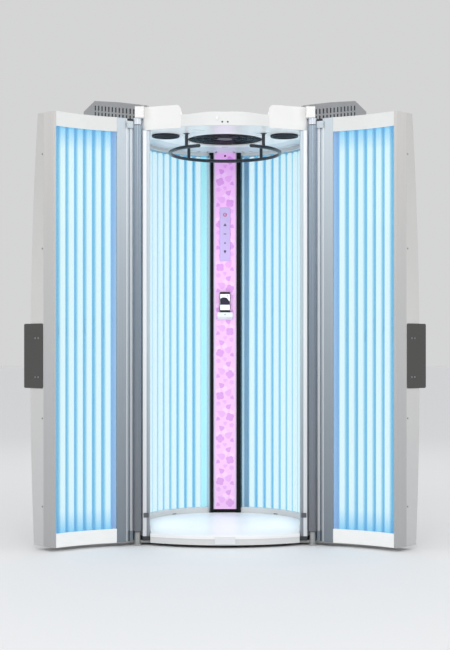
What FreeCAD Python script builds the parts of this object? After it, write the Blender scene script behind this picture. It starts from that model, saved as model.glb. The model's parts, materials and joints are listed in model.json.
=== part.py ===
import FreeCAD, Part
import math
import os
import Sketcher
from FreeCAD import Placement, Rotation, Vector

# A stand-up tanning booth with two lamp doors, in millimetres. X runs to the right, Y to the back and Z up.
# The origin is on the ground under the middle of the standing floor. The doors are drawn wide open, at rest.

os.makedirs("parts", exist_ok=True)
doc = FreeCAD.newDocument("tanning_booth")

# ---------------------------------------------------------------------------------------------------------
# Driving sizes
# ---------------------------------------------------------------------------------------------------------

SIZES = [
    ("base_bottom", "24", "underside of the base plate"),
    ("base_top", "44", "top of the base plate"),
    ("floor_top", "60", "top of the standing floor"),
    ("skirt_bottom", "14", "lower edge of the front skirt"),
    ("ceiling_bottom", "2045", "underside of the ceiling"),
    ("deck_top", "2051", "top of the ceiling and of the casings"),
    ("roof_top", "2102", "top of the roof cover at its sides"),
    ("crown_rise", "10", "height of the roof's middle over its sides"),
    ("crown_half", "85", "half width of the roof's raised middle"),
    ("crown_foot", "190", "half width of the raised middle and its slopes"),
    ("hump_bottom", "2037", "lower edge of the humps' front wall"),
    ("hump_top", "2150", "top of the humps"),
    ("hump_inner_x", "214", "inner side of each hump"),
    ("hump_outer_x", "402", "outer side of each hump"),
    ("hump_corner", "24", "rounding of the humps' inner top edge"),
    ("hump_lid", "20", "solid top of the humps over their hollow"),
    ("hinge_box_outer_x", "441", "outer side of the hinge cover box"),
    ("hinge_box_front_y", "-374", "front of the hinge cover box"),
    ("hinge_box_rear_y", "-312", "rear of the hinge cover box"),
    ("hinge_box_bottom", "2096", "underside of the hinge cover box"),
    ("moulding_wall", "4", "wall of the moulded front edges"),
    ("cabin_y", "40", "centre of the cabin's round rear"),
    ("front_y", "-445", "front of the floor on the middle line"),
    ("front_radius", "826", "radius of the floor's and roof's front edge"),
    ("floor_radius", "410", "radius of the floor's round rear"),
    ("floor_nose", "5", "rounding of the floor's front edge"),
    ("rim_inset", "14", "distance of the floor's rim groove from its edge"),
    ("rim_width", "4", "width of the rim groove"),
    ("rim_depth", "1.5", "depth of the rim groove"),
    ("skirt_setback", "2", "distance of the skirt behind the floor's edge"),
    ("skirt_gap", "2", "distance of the base plate behind the skirt"),
    ("wall_turn_angle", "98", "angle from the rear at which the walls run straight"),
    ("wall_start_angle", "12.3", "angle from the rear at which the walls begin"),
    ("wall_end_y", "-300", "front end of the clear walls"),
    ("wall_gap", "2", "gap between the floor and the wall trims"),
    ("trim_thick", "20", "thickness of the wall trims"),
    ("lower_trim", "46", "height of the lower wall trims"),
    ("upper_trim", "15", "height of the upper wall trims"),
    ("trim_lip", "6", "width of the trims' lip inside the clear walls"),
    ("clear_thick", "4", "thickness of the clear walls"),
    ("lamp_setback", "39", "lamp axes behind the clear walls' inner face"),
    ("lamp_radius", "19", "radius of the lamp tubes"),
    ("lamp_glass", "1", "glass wall of the lamp tubes"),
    ("first_lamp_angle", "19.3", "angle of the first wall lamp from the rear"),
    ("lamp_step_angle", "6.4", "angle between wall lamps"),
    ("lamp_pitch", "50", "distance between lamps on the straight walls"),
    ("straight_lead", "19", "first straight lamp after the wall's turn"),
    ("reflector_gap", "12", "distance of the reflectors behind the lamps"),
    ("reflector_thick", "2", "thickness of the reflectors"),
    ("reflector_end_y", "-186", "front end of the wall reflectors"),
    ("rail_height", "14", "height of the lamp holder rails"),
    ("rail_lip", "5", "lamp holder rails in front of the lamp axes"),
    ("post_inner_x", "370", "inner side of the front posts"),
    ("post_step_x", "384", "step in the front of the posts"),
    ("post_outer_x", "404", "outer side of the front posts"),
    ("post_front_y", "-352", "front of the posts"),
    ("post_step", "6", "depth of the step in the posts"),
    ("post_rear_y", "-300", "rear of the posts"),
    ("post_wall", "3", "wall of the posts"),
    ("casing_corner_y", "-329", "front corner of the side casings"),
    ("casing_length", "681", "length of the slanted side casings"),
    ("casing_rear_x", "470", "half width of the rear casing"),
    ("casing_rear_y", "740", "rear of the booth"),
    ("casing_thick", "18", "thickness of the casing panels"),
    ("foot_radius", "30", "radius of the levelling feet"),
    ("foot_height", "8", "height of the feet's pads"),
    ("foot_stem", "7", "radius of the feet's stems"),
    ("column_half", "86", "half width of the column"),
    ("column_front_y", "432", "front of the column"),
    ("column_rear_y", "520", "rear of the column"),
    ("column_wall", "6", "wall of the column housing"),
    ("decor_half", "62.5", "half width of the decorated panel"),
    ("decor_recess", "2", "decorated panel behind the column's front"),
    ("decor_thick", "6", "thickness of the decorated panel"),
    ("decor_bottom", "80", "lower edge of the decorated panel"),
    ("decor_play", "0.5", "play beside the decorated panel"),
    ("keys_half", "29", "half width of the touch strip"),
    ("keys_bottom", "1447", "lower edge of the touch strip"),
    ("keys_top", "1743", "upper edge of the touch strip"),
    ("keys_thick", "4", "thickness of the touch strip"),
    ("dock_half", "42", "half width of the phone dock"),
    ("dock_bottom", "1123", "underside of the phone dock"),
    ("dock_top", "1164", "top of the phone dock"),
    ("dock_depth", "38", "depth of the phone dock"),
    ("dock_slope", "14", "rise of the dock's underside to the front"),
    ("phone_half", "29.3", "half width of the phone"),
    ("phone_thick", "8", "thickness of the phone"),
    ("phone_height", "124", "height of the phone"),
    ("phone_seat", "1153", "floor of the dock's slot"),
    ("phone_back", "12", "phone in front of the decorated panel"),
    ("phone_corner", "7", "rounding of the phone's corners"),
    ("slot_play", "0.5", "play round the phone in its slot"),
    ("seat_gap", "0.2", "gap under the phone and over the hinge bushes"),
    ("rail_ring_radius", "285", "radius of the handrail ring"),
    ("rail_tube", "11", "radius of the handrail tube"),
    ("rail_z", "1977", "height of the handrail ring's axis"),
    ("rail_mouth_angle", "25.6", "half angle of the ring's mouth at the front"),
    ("rail_post_x", "193", "handrail posts beside the middle line"),
    ("rail_post_radius", "9", "radius of the handrail posts"),
    ("rail_flange", "24", "radius of the handrail flanges"),
    ("rail_flange_thick", "4", "thickness of the handrail flanges"),
    ("fan_radius", "195", "radius of the ceiling fan's opening"),
    ("guard_thick", "4", "thickness of the fan guard"),
    ("guard_wire", "3", "width of the guard's rings and spokes"),
    ("guard_hub", "41", "radius of the guard's hub plate"),
    ("guard_rim", "10", "width of the guard's outer ring"),
    ("fan_hub", "30", "radius of the fan rotors' hub"),
    ("fan_blade", "182", "radius of the ceiling fan's blades"),
    ("fan_bottom", "2060", "underside of the ceiling fan's rotor"),
    ("fan_rise", "20", "height of the ceiling fan's rotor"),
    ("fan_pitch_angle", "32", "pitch of the fan blades"),
    ("blade_thick", "2.5", "thickness of the fan blades"),
    ("blade_root", "2", "depth of the blades' roots in the hub"),
    ("shaft_radius", "5", "radius of the fan shafts"),
    ("running_play", "0.05", "radial play of shafts and pins"),
    ("motor_radius", "48", "radius of the ceiling fan's motor"),
    ("motor_gap", "3", "gap between rotors and motors"),
    ("band_half", "340", "half width of the ceiling's air band at its front"),
    ("band_radius", "352", "radius of the air band's front edge"),
    ("band_slot_near", "352", "inner end of the air band's slots"),
    ("band_slot_far", "406", "outer end of the air band's slots"),
    ("band_slot_half_angle", "0.8", "half the angle that each slot of the air band takes"),
    ("band_slot_step_angle", "7.5", "angle between the air band's slots"),
    ("speaker_x", "300", "speakers beside the middle line"),
    ("speaker_y", "-150", "speakers in front of the cabin's axis"),
    ("speaker_radius", "70", "radius of the speakers"),
    ("speaker_depth", "10", "height of the speakers"),
    ("hood_inner_rise", "117", "rise of the grille hoods over the casings at the posts"),
    ("hood_step_at", "262", "place of the step in the hoods' top"),
    ("hood_step_low_rise", "152", "rise of the hoods below the step"),
    ("hood_step_high_rise", "171", "rise of the hoods above the step"),
    ("hood_peak_rise", "223", "rise of the hoods at their highest point"),
    ("hood_end_rise", "187", "rise of the hoods at the outer corner"),
    ("hood_rear_rise", "69", "rise of the hoods at the rear"),
    ("hood_peak", "545", "place of the highest point along the hood"),
    ("hood_wall", "4", "wall of the grille hoods"),
    ("slot_width", "16", "width of the hoods' slots"),
    ("slot_height", "26", "height of the hoods' slots"),
    ("slot_pitch", "40", "distance between the hoods' slots"),
    ("slot_row", "34", "distance between the rows of slots"),
    ("slot_first", "50", "first slot along the hood"),
    ("slot_rise", "101", "rise of the upper row's first slot over the casings"),
    ("slot_climb", "0.2", "rise of the upper row for each millimetre along the hood"),
    ("exhaust_along", "545", "exhaust fan along the hood"),
    ("exhaust_in", "165", "exhaust fan behind the hood's front"),
    ("exhaust_radius", "86", "radius of the exhaust fans' blades"),
    ("exhaust_drop", "74", "underside of the exhaust fans below the hoods' highest point"),
    ("exhaust_rise", "22", "height of the exhaust fans"),
    ("exhaust_motor", "34", "radius of the exhaust fans' motors"),
    ("hinge_x", "430", "door hinge axes beside the middle line"),
    ("hinge_y", "-345", "door hinge axes in front of the cabin's axis"),
    ("open_angle", "31.5", "turn of the open doors from the booth's width"),
    ("mitre_angle", "15.22", "slant of the doors' free edges"),
    ("barrel_radius", "22", "radius of the hinge barrels"),
    ("barrel_bottom", "70", "lower end of the barrels"),
    ("barrel_top", "2060", "upper end of the barrels"),
    ("pin_radius", "8", "radius of the hinge pins"),
    ("pin_length", "30", "length of the hinge pins in the barrels"),
    ("bush_wall", "4", "wall of the hinge bushes"),
    ("bush_flange", "3.5", "height of the hinge bushes' flange"),
    ("bush_flange_radius", "19", "radius of the hinge bushes' flange"),
    ("hinge_boss", "20", "radius of the upper hinge boss"),
    ("hinge_leg", "14", "radius of the lower hinge leg"),
    ("arm_thick", "12", "thickness of the lower hinge arm"),
    ("arm_inner_x", "330", "inner end of the lower hinge arm"),
    ("arm_front_y", "-340", "front of the lower hinge arm"),
    ("arm_rear_y", "-300", "rear of the lower hinge arm"),
    ("door_bottom", "20", "underside of the doors"),
    ("door_top", "2093", "top of the doors"),
    ("door_width", "440", "hinge axis to the door's free edge"),
    ("face_offset", "8", "door's inner face in front of its hinge axis"),
    ("strip_end", "36", "end of the narrow strip beside the barrel"),
    ("groove_end", "50", "end of the groove beside the strip"),
    ("groove_depth", "12", "depth of the groove"),
    ("strip_top", "2088", "top of the strip beside the barrel"),
    ("window_start", "108", "hinge side of the door's window"),
    ("window_end", "430", "free side of the door's window"),
    ("window_bottom", "88", "lower edge of the door's window"),
    ("window_top", "2023", "upper edge of the door's window"),
    ("window_setback", "4", "door's clear sheet behind its inner face"),
    ("window_sag", "18", "depth of the window's hollow curve"),
    ("window_thick", "3", "thickness of the door's clear sheet"),
    ("window_play", "0.3", "play beside the door's clear sheet and reflector"),
    ("profile_depth", "28", "depth of the hinge profile"),
    ("profile_wall", "6", "wall of the hinge profile"),
    ("edge_depth", "77", "depth of the free edge profile along its slant"),
    ("edge_wall", "12", "wall of the free edge profile"),
    ("shell_start", "-8", "hinge side of the door's shell"),
    ("shell_wall", "4", "wall of the door's shell"),
    ("shell_hinge", "128", "depth of the shell at the hinge side"),
    ("shell_middle", "172", "depth of the shell in its middle"),
    ("shell_edge", "186", "depth of the shell along its free edge"),
    ("shell_middle_at", "236", "place of the shell's middle section"),
    ("shell_bow", "13300", "radius of the shell's upright bow"),
    ("shell_peak", "870", "height of the bow's deepest point"),
    ("door_lamp_first", "145", "first door lamp from the hinge axis"),
    ("door_lamp_pitch", "48", "distance between the door lamps"),
    ("door_lamp_gap", "3", "gap between the clear sheet and the lamps"),
    ("door_lamp_bottom", "50", "lower end of the door lamps"),
    ("door_lamp_top", "2060", "upper end of the door lamps"),
    ("cap_wall", "4", "wall of the door's end caps"),
    ("handle_start", "79", "inner edge of the handle along the slant"),
    ("handle_end", "231", "outer edge of the handle along the slant"),
    ("handle_bottom", "775", "lower end of the handle"),
    ("handle_top", "1086", "upper end of the handle"),
    ("handle_thick", "3", "thickness of the handle"),
    ("handle_lip", "18", "turned lip of the handle"),
    ("handle_corner", "8", "rounding of the handle's corners"),
    ("stopper_start", "22", "hinge side of the door's upper block"),
    ("stopper_end", "52", "free side of the door's upper block"),
    ("stopper_bottom", "2050", "underside of the door's upper block"),
    ("stopper_top", "2090", "top of the door's upper block"),
    ("catch_half", "50", "half width of the lower catch plate"),
    ("catch_thick", "1.2", "thickness of the lower catch plate"),
    ("catch_bottom", "19", "lower edge of the lower catch plate"),
    ("catch_top", "55", "upper edge of the lower catch plate"),
    ("roller_x", "39", "upper catch beside the middle line"),
    ("roller_half", "6", "half width of the upper catch"),
    ("roller_bottom", "2072", "lower edge of the upper catch"),
    ("roller_top", "2090", "upper edge of the upper catch"),
    ("roller_thick", "5", "thickness of the upper catch"),
    ("ballast_x", "540", "ballast packs beside the middle line"),
    ("ballast_y", "185", "front of the ballast packs"),
    ("ballast_width", "92", "width of the ballast packs"),
    ("ballast_length", "200", "length of the ballast packs"),
    ("ballast_height", "300", "height of the ballast packs"),
    ("inlet_x", "-300", "power inlet beside the middle line"),
    ("inlet_z", "182", "height of the power inlet"),
    ("inlet_radius", "12", "radius of the power inlet's gland"),
    ("inlet_flange", "18", "radius of the power inlet's nut"),
    ("inlet_reach", "22", "reach of the power inlet behind the booth"),
]

FULL_TURN = 360
HALF_TURN = 180
RIGHT_ANGLE = 90
LAMP_SIDES = 12
RAIL_SIDES = 12
FOOT_SIDES = 12
NUT_SIDES = 6
STEM_SIDES = 12
STRAIGHT_LAMPS = 4
ARC_LAMPS = 13
DOOR_LAMPS = 6
BLADES = 5
GUARD_SPOKES = 6
GUARD_RINGS = 3
HOOD_SLOTS = 13
HOOD_ROWS = 3
BAND_SLOTS = 10
LEFT = -1
RIGHT = 1
SIDE_NAMES = {LEFT: "left", RIGHT: "right"}

sheet = doc.addObject("Spreadsheet::Sheet", "Sizes")
for row, (alias, value, note) in enumerate(SIZES, start=1):
    sheet.set(f"A{row}", note)
    sheet.set(f"B{row}", value)
    sheet.setAlias(f"B{row}", alias)
doc.recompute()


class Size:
    """A number together with the sheet expression that keeps a dimension bound to it."""

    def __init__(self, number, text):
        self.number = float(number)
        self.text = text

    def __add__(self, other):
        other = as_size(other)
        return Size(self.number + other.number, f"({self.text} + {other.text})")

    def __sub__(self, other):
        other = as_size(other)
        return Size(self.number - other.number, f"({self.text} - {other.text})")

    def __mul__(self, other):
        other = as_size(other)
        return Size(self.number * other.number, f"({self.text} * {other.text})")

    def __truediv__(self, other):
        other = as_size(other)
        return Size(self.number / other.number, f"({self.text} / {other.text})")

    def __neg__(self):
        return as_size(0) - self

    def __radd__(self, other):
        return as_size(other) + self

    def __rsub__(self, other):
        return as_size(other) - self

    def __rmul__(self, other):
        return as_size(other) * self


def as_size(value):
    """Turns a plain number into a Size, and leaves a Size as it is."""
    return value if isinstance(value, Size) else Size(value, f"{value:g}")


def size(alias):
    """The sheet's value of that name."""
    return Size(sheet.get(alias), f"Sizes.{alias}")


def sine(angle):
    return Size(math.sin(math.radians(angle.number)), f"sin({angle.text})")


def cosine(angle):
    return Size(math.cos(math.radians(angle.number)), f"cos({angle.text})")


def root(value):
    return Size(math.sqrt(value.number), f"sqrt({value.text})")


def bind(item, name, value):
    """Keeps one property of an object equal to a Size."""
    item.setExpression(name, as_size(value).text)


# ---------------------------------------------------------------------------------------------------------
# Sketches, bodies and primitives
# ---------------------------------------------------------------------------------------------------------

def origin_feature(body, role):
    """One of the body's own origin planes or axes."""
    for feature in body.Origin.OriginFeatures:
        if feature.Role == role:
            return feature
    raise ValueError(role)


def new_body(label):
    body = doc.addObject("PartDesign::Body", label)
    body.Label = label
    return body


def new_sketch(body, plane, height=0, name="outline"):
    """A sketch on one of the body's origin planes, moved along the plane's normal by a bound height."""
    sketch = body.newObject("Sketcher::SketchObject", f"{body.Name}_{name}")
    sketch.AttachmentSupport = [(origin_feature(body, plane), "")]
    sketch.MapMode = "FlatFace"
    bind(sketch, ".AttachmentOffset.Base.z", height)
    return sketch


def arc_between(start, end, radius):
    """The minor arc from start to end; a positive radius turns left, a negative one turns right."""
    chord = end - start
    middle = start + chord * 0.5
    left = Vector(-chord.y, chord.x, 0).normalize()
    rise = math.sqrt(max(radius * radius - chord.Length * chord.Length / 4, 0))
    centre = middle + left * math.copysign(rise, radius)
    from_centre = (start, end) if radius > 0 else (end, start)
    angles = [math.atan2(p.y - centre.y, p.x - centre.x) for p in from_centre]
    return Part.ArcOfCircle(Part.Circle(centre, Vector(0, 0, 1), abs(radius)), angles[0], angles[1])


def pin_point(sketch, edge, end, x, y):
    """Holds one end of an edge at a bound place."""
    for kind, value in (("DistanceX", x), ("DistanceY", y)):
        index = sketch.addConstraint(Sketcher.Constraint(kind, -1, 1, edge, end, value.number))
        sketch.setExpression(f"Constraints[{index}]", value.text)


def draw_ring(sketch, corners):
    """Draws a closed ring through bound corners.

    A corner (x, y) ends a straight edge, and (x, y, radius) ends an arc that turns left, or right where the
    radius is negative.
    """
    corners = [tuple(as_size(value) for value in corner) for corner in corners]
    first = sketch.GeometryCount
    ends = []
    for before, corner in zip(corners[-1:] + corners[:-1], corners):
        start = Vector(before[0].number, before[1].number, 0)
        end = Vector(corner[0].number, corner[1].number, 0)
        if len(corner) == 2:
            sketch.addGeometry(Part.LineSegment(start, end), False)
            ends.append((1, 2))
        else:
            sketch.addGeometry(arc_between(start, end, corner[2].number), False)
            ends.append((1, 2) if corner[2].number > 0 else (2, 1))
    count = len(corners)
    for step, corner in enumerate(corners):
        following = (step + 1) % count
        sketch.addConstraint(Sketcher.Constraint(
            "Coincident", first + step, ends[step][1], first + following, ends[following][0]))
        pin_point(sketch, first + step, ends[step][1], corner[0], corner[1])
        if len(corner) == 3:
            radius = corner[2] if corner[2].number > 0 else -corner[2]
            index = sketch.addConstraint(Sketcher.Constraint("Radius", first + step, radius.number))
            sketch.setExpression(f"Constraints[{index}]", radius.text)


def draw_circle(sketch, x, y, radius):
    """Draws a circle with a bound centre and radius."""
    x, y, radius = as_size(x), as_size(y), as_size(radius)
    centre = Vector(x.number, y.number, 0)
    edge = sketch.addGeometry(Part.Circle(centre, Vector(0, 0, 1), radius.number), False)
    pin_point(sketch, edge, 3, x, y)
    index = sketch.addConstraint(Sketcher.Constraint("Radius", edge, radius.number))
    sketch.setExpression(f"Constraints[{index}]", radius.text)


def pad(body, sketch, length, reverse=False):
    feature = body.newObject("PartDesign::Pad", f"{sketch.Name}_pad")
    feature.Profile = sketch
    bind(feature, "Length", length)
    feature.Reversed = reverse
    return feature


def pocket(body, sketch, length=None, reverse=False):
    """Cuts a sketch into the body along its normal; without a length it cuts right through both ways."""
    feature = body.newObject("PartDesign::Pocket", f"{sketch.Name}_cut")
    feature.Profile = sketch
    if length is None:
        feature.Type = "ThroughAll"
        feature.Midplane = True
    else:
        bind(feature, "Length", length)
    feature.Reversed = reverse
    return feature


def edges_where(shape, test):
    """Names of the edges of a shape that pass a test."""
    return [f"Edge{number}" for number, edge in enumerate(shape.Edges, start=1) if test(edge)]


def round_edges(body, radius, test):
    """Rounds the edges of the body's last feature that pass a test."""
    doc.recompute()
    last = body.Tip
    feature = body.newObject("PartDesign::Fillet", f"{body.Name}_rounding")
    feature.Base = (last, edges_where(last.Shape, test))
    bind(feature, "Radius", radius)
    return feature


def level_at(edge, height):
    """Whether an edge lies level at a height."""
    box = edge.BoundBox
    return abs(box.ZMin - height.number) < 0.01 and abs(box.ZMax - height.number) < 0.01


def repeat_round(body, feature, count):
    """Repeats a feature evenly round the body's own upright axis."""
    pattern = body.newObject("PartDesign::PolarPattern", f"{feature.Name}_round")
    pattern.Originals = [feature]
    pattern.Axis = (origin_feature(body, "Z_Axis"), [""])
    pattern.Angle = FULL_TURN
    pattern.Occurrences = count
    body.Tip = pattern
    return pattern


def prism(label, rings, bottom, top, circles=()):
    """A body padded upright from the given rings and circles, between two heights."""
    body = new_body(label)
    add_prism(body, rings, bottom, top, circles)
    return body


def add_prism(body, rings, bottom, top, circles=(), name="outline"):
    sketch = new_sketch(body, "XY_Plane", bottom, name)
    for ring in rings:
        draw_ring(sketch, ring)
    for x, y, radius in circles:
        draw_circle(sketch, x, y, radius)
    return pad(body, sketch, top - bottom)


def cut_prism(body, rings, bottom, top, circles=(), name="hollow"):
    """Cuts an upright hollow from the given rings and circles, between two heights."""
    sketch = new_sketch(body, "XY_Plane", bottom, name)
    for ring in rings:
        draw_ring(sketch, ring)
    for x, y, radius in circles:
        draw_circle(sketch, x, y, radius)
    return pocket(body, sketch, top - bottom, reverse=True)


def rectangle(x_low, x_high, y_low, y_high):
    return [(x_low, y_low), (x_high, y_low), (x_high, y_high), (x_low, y_high)]


def even_sided(x, y, radius, sides):
    """Corners of an even-sided ring about a point, each at the radius."""
    angles = [as_size(FULL_TURN * (step + 0.5) / sides) for step in range(sides)]
    return [(x + radius * cosine(angle), y + radius * sine(angle)) for angle in angles]


def block(label, x_low, x_high, y_low, y_high, z_low, z_high):
    """A bound box between the given bounds."""
    box = doc.addObject("Part::Box", label)
    box.Label = label
    for name, low, high in (("Length", x_low, x_high), ("Width", y_low, y_high), ("Height", z_low, z_high)):
        bind(box, name, as_size(high) - low)
    for axis, low in (("x", x_low), ("y", y_low), ("z", z_low)):
        bind(box, f".Placement.Base.{axis}", low)
    return box


def cylinder(label, x, y, bottom, top, radius):
    """A bound upright cylinder."""
    item = doc.addObject("Part::Cylinder", label)
    item.Label = label
    bind(item, "Radius", radius)
    bind(item, "Height", as_size(top) - bottom)
    for axis, value in (("x", x), ("y", y), ("z", bottom)):
        bind(item, f".Placement.Base.{axis}", value)
    return item


def fuse(label, pieces):
    item = doc.addObject("Part::MultiFuse", label)
    item.Label = label
    item.Shapes = pieces
    return item


def cut(label, base, tool):
    item = doc.addObject("Part::Cut", label)
    item.Label = label
    item.Base = base
    item.Tool = tool
    return item


def turn(item, x, y, angle):
    """Places an object at a bound point of the plan, turned about the vertical by a bound angle."""
    item.Placement = Placement(Vector(x.number, y.number, 0), Rotation(Vector(0, 0, 1), angle.number))
    bind(item, ".Placement.Base.x", x)
    bind(item, ".Placement.Base.y", y)
    bind(item, ".Placement.Rotation.Angle", angle)
    return item


NODES = []


def keep(item):
    """Takes an object into the list of finished sub-parts."""
    NODES.append(item)
    return item


# ---------------------------------------------------------------------------------------------------------
# Lines of the plan
# ---------------------------------------------------------------------------------------------------------

CABIN_Y = size("cabin_y")
WALL_TURN = size("wall_turn_angle")
CLEAR_INNER = size("floor_radius") + size("wall_gap") + size("trim_lip")
CLEAR_OUTER = CLEAR_INNER + size("clear_thick")
TRIM_INNER = size("floor_radius") + size("wall_gap")
TRIM_OUTER = TRIM_INNER + size("trim_thick")
LAMP_LINE = CLEAR_INNER + size("lamp_setback")
REFLECTOR_INNER = LAMP_LINE + size("lamp_radius") + size("reflector_gap")
REFLECTOR_OUTER = REFLECTOR_INNER + size("reflector_thick")


def front_line(x, setback=0):
    """Y of the curved front edge at x, moved back by a setback."""
    radius = size("front_radius") - setback
    return size("front_y") + size("front_radius") - root(radius * radius - x * x)


def on_wall(radius, angle, side):
    """A point of the round rear, at an angle from straight behind."""
    return side * radius * sine(angle), CABIN_Y + radius * cosine(angle)


def along_wall(radius, end_y, side):
    """The point where the wall of that radius, run on straight past its turn, reaches end_y."""
    x, y = on_wall(radius, WALL_TURN, 1)
    return side * (x + (y - end_y) * cosine(WALL_TURN) / sine(WALL_TURN)), end_y


def wall_strip(inner, outer, side, end_y):
    """Plan of an upright sheet that follows the wall from the column to end_y."""
    start = size("wall_start_angle")
    return [
        on_wall(inner, start, side),
        on_wall(inner, WALL_TURN, side) + (-side * inner,),
        along_wall(inner, end_y, side),
        along_wall(outer, end_y, side),
        on_wall(outer, WALL_TURN, side),
        on_wall(outer, start, side) + (side * outer,),
    ]


def cabin_outline(radius, setback, front_x=None):
    """Plan of a sheet that fills the cabin: round behind, straight beside, and curved in front."""
    end_y = size("wall_end_y")
    right_x = along_wall(radius, end_y, RIGHT)[0] if front_x is None else front_x
    middle = (as_size(0), CABIN_Y + radius)
    edge = size("front_radius") - setback
    return [
        (right_x, front_line(right_x, setback), edge),
        along_wall(radius, end_y, RIGHT),
        on_wall(radius, WALL_TURN, RIGHT),
        middle + (radius,),
        on_wall(radius, WALL_TURN, LEFT) + (radius,),
        along_wall(radius, end_y, LEFT),
        (-right_x, front_line(right_x, setback)),
    ]


OPEN = size("open_angle")
CASING_CORNER = (size("post_outer_x"), size("casing_corner_y"))
CASING_OUTER = (
    CASING_CORNER[0] + size("casing_length") * sine(OPEN),
    CASING_CORNER[1] + size("casing_length") * cosine(OPEN),
)
CASING_REAR = (size("casing_rear_x"), size("casing_rear_y"))


def unit_inward(start, end):
    """Unit vector pointing into the booth from the right-hand casing line from start to end."""
    run_x, run_y = end[0] - start[0], end[1] - start[1]
    length = root(run_x * run_x + run_y * run_y)
    return -run_y / length, run_x / length


def mitre(point, first, second, depth):
    """The inner corner of two casing panels of equal depth that meet at a point."""
    scale = depth / (1 + first[0] * second[0] + first[1] * second[1])
    return point[0] + scale * (first[0] + second[0]), point[1] + scale * (first[1] + second[1])


SLANT_IN = unit_inward(CASING_CORNER, CASING_OUTER)
CORNER_IN = unit_inward(CASING_OUTER, CASING_REAR)
REAR_IN = (as_size(0), as_size(-1))
OUTER_MITRE = mitre(CASING_OUTER, SLANT_IN, CORNER_IN, size("casing_thick"))
REAR_MITRE = mitre(CASING_REAR, CORNER_IN, REAR_IN, size("casing_thick"))


def mirrored(points, side):
    return [(side * x, y) for x, y in points]


# ---------------------------------------------------------------------------------------------------------
# Base and floor
# ---------------------------------------------------------------------------------------------------------

def base_plate():
    """Stiff plate that carries the floor, the posts, the trims and the casings."""
    setback = size("skirt_setback") + size("moulding_wall") + size("skirt_gap")
    inner, outer, post_front = size("post_inner_x"), size("post_outer_x"), size("post_front_y")
    front = front_line(inner, setback)
    ring = [
        (inner, front, size("front_radius") - setback),
        (inner, post_front),
        (outer, post_front),
        CASING_CORNER,
        CASING_OUTER,
        CASING_REAR,
        (-CASING_REAR[0], CASING_REAR[1]),
        (-CASING_OUTER[0], CASING_OUTER[1]),
        (-CASING_CORNER[0], CASING_CORNER[1]),
        (-outer, post_front),
        (-inner, post_front),
        (-inner, front),
    ]
    keep(prism("base_plate", [ring], size("base_bottom"), size("base_top")))


def foot_places():
    """Plan of the levelling feet: one under the standing floor and the others near the plate's edge."""
    reach = size("foot_radius") + size("casing_thick")
    front = (size("post_inner_x") - 2 * reach, size("post_rear_y"))
    middle = (CASING_OUTER[0] - 2 * reach, CASING_OUTER[1])
    rear = (CASING_REAR[0] - reach, CASING_REAR[1] - reach)
    pairs = [(side * x, y) for x, y in (front, middle, rear) for side in (LEFT, RIGHT)]
    return [(as_size(0), as_size(0)), (as_size(0), rear[1])] + pairs


def levelling_feet():
    """Pads with their six-sided adjusting stems under the base plate."""
    pad_top = size("foot_height")
    pads = [even_sided(x, y, size("foot_radius"), FOOT_SIDES) for x, y in foot_places()]
    stems = [even_sided(x, y, size("foot_stem"), NUT_SIDES) for x, y in foot_places()]
    feet = prism("levelling_feet", pads, as_size(0), pad_top)
    add_prism(feet, stems, pad_top, size("base_bottom"), name="stems")
    keep(feet)


def floor_panel():
    """Standing floor with a rounded nose and a rim groove that follows its edge."""
    top = size("floor_top")
    radius = size("floor_radius")
    floor = prism("floor_panel", [cabin_outline(radius, as_size(0))], size("base_top"), top)
    inset = size("rim_inset")
    inner = inset + size("rim_width")
    groove = [cabin_outline(radius - inset, inset), cabin_outline(radius - inner, inner)]
    sketch = new_sketch(floor, "XY_Plane", top - size("rim_depth"), "rim")
    for ring in groove:
        draw_ring(sketch, ring)
    pocket(floor, sketch, size("rim_depth"), reverse=True)
    nose = size("front_radius").number

    def is_nose(edge):
        return level_at(edge, top) and abs(getattr(edge.Curve, "Radius", 0) - nose) < 0.01

    round_edges(floor, size("floor_nose"), is_nose)
    keep(floor)


def front_skirt():
    """Curved fascia under the nose of the floor."""
    outer = size("skirt_setback")
    inner = outer + size("moulding_wall")
    x = along_wall(size("floor_radius"), size("wall_end_y"), RIGHT)[0]
    ring = [
        (x, front_line(x, outer), size("front_radius") - outer),
        (x, front_line(x, inner)),
        (-x, front_line(x, inner), inner - size("front_radius")),
        (-x, front_line(x, outer)),
    ]
    keep(prism("front_skirt", [ring], size("skirt_bottom"), size("base_top")))


def door_catches():
    """Keeper plate at the foot of the doors and a small roller catch at the roof's edge."""
    front = size("front_y")
    half = size("catch_half")
    plate = block("catch_plate", -half, half, front - size("catch_thick"), front,
                  size("catch_bottom"), size("catch_top"))
    x, reach = size("roller_x"), size("roller_half")
    roller = block("catch_roller", -x - reach, -x + reach, front - size("roller_thick"), front,
                   size("roller_bottom"), size("roller_top"))
    keep(fuse("door_catches", [plate, roller]))


# ---------------------------------------------------------------------------------------------------------
# Casings and posts
# ---------------------------------------------------------------------------------------------------------

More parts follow.
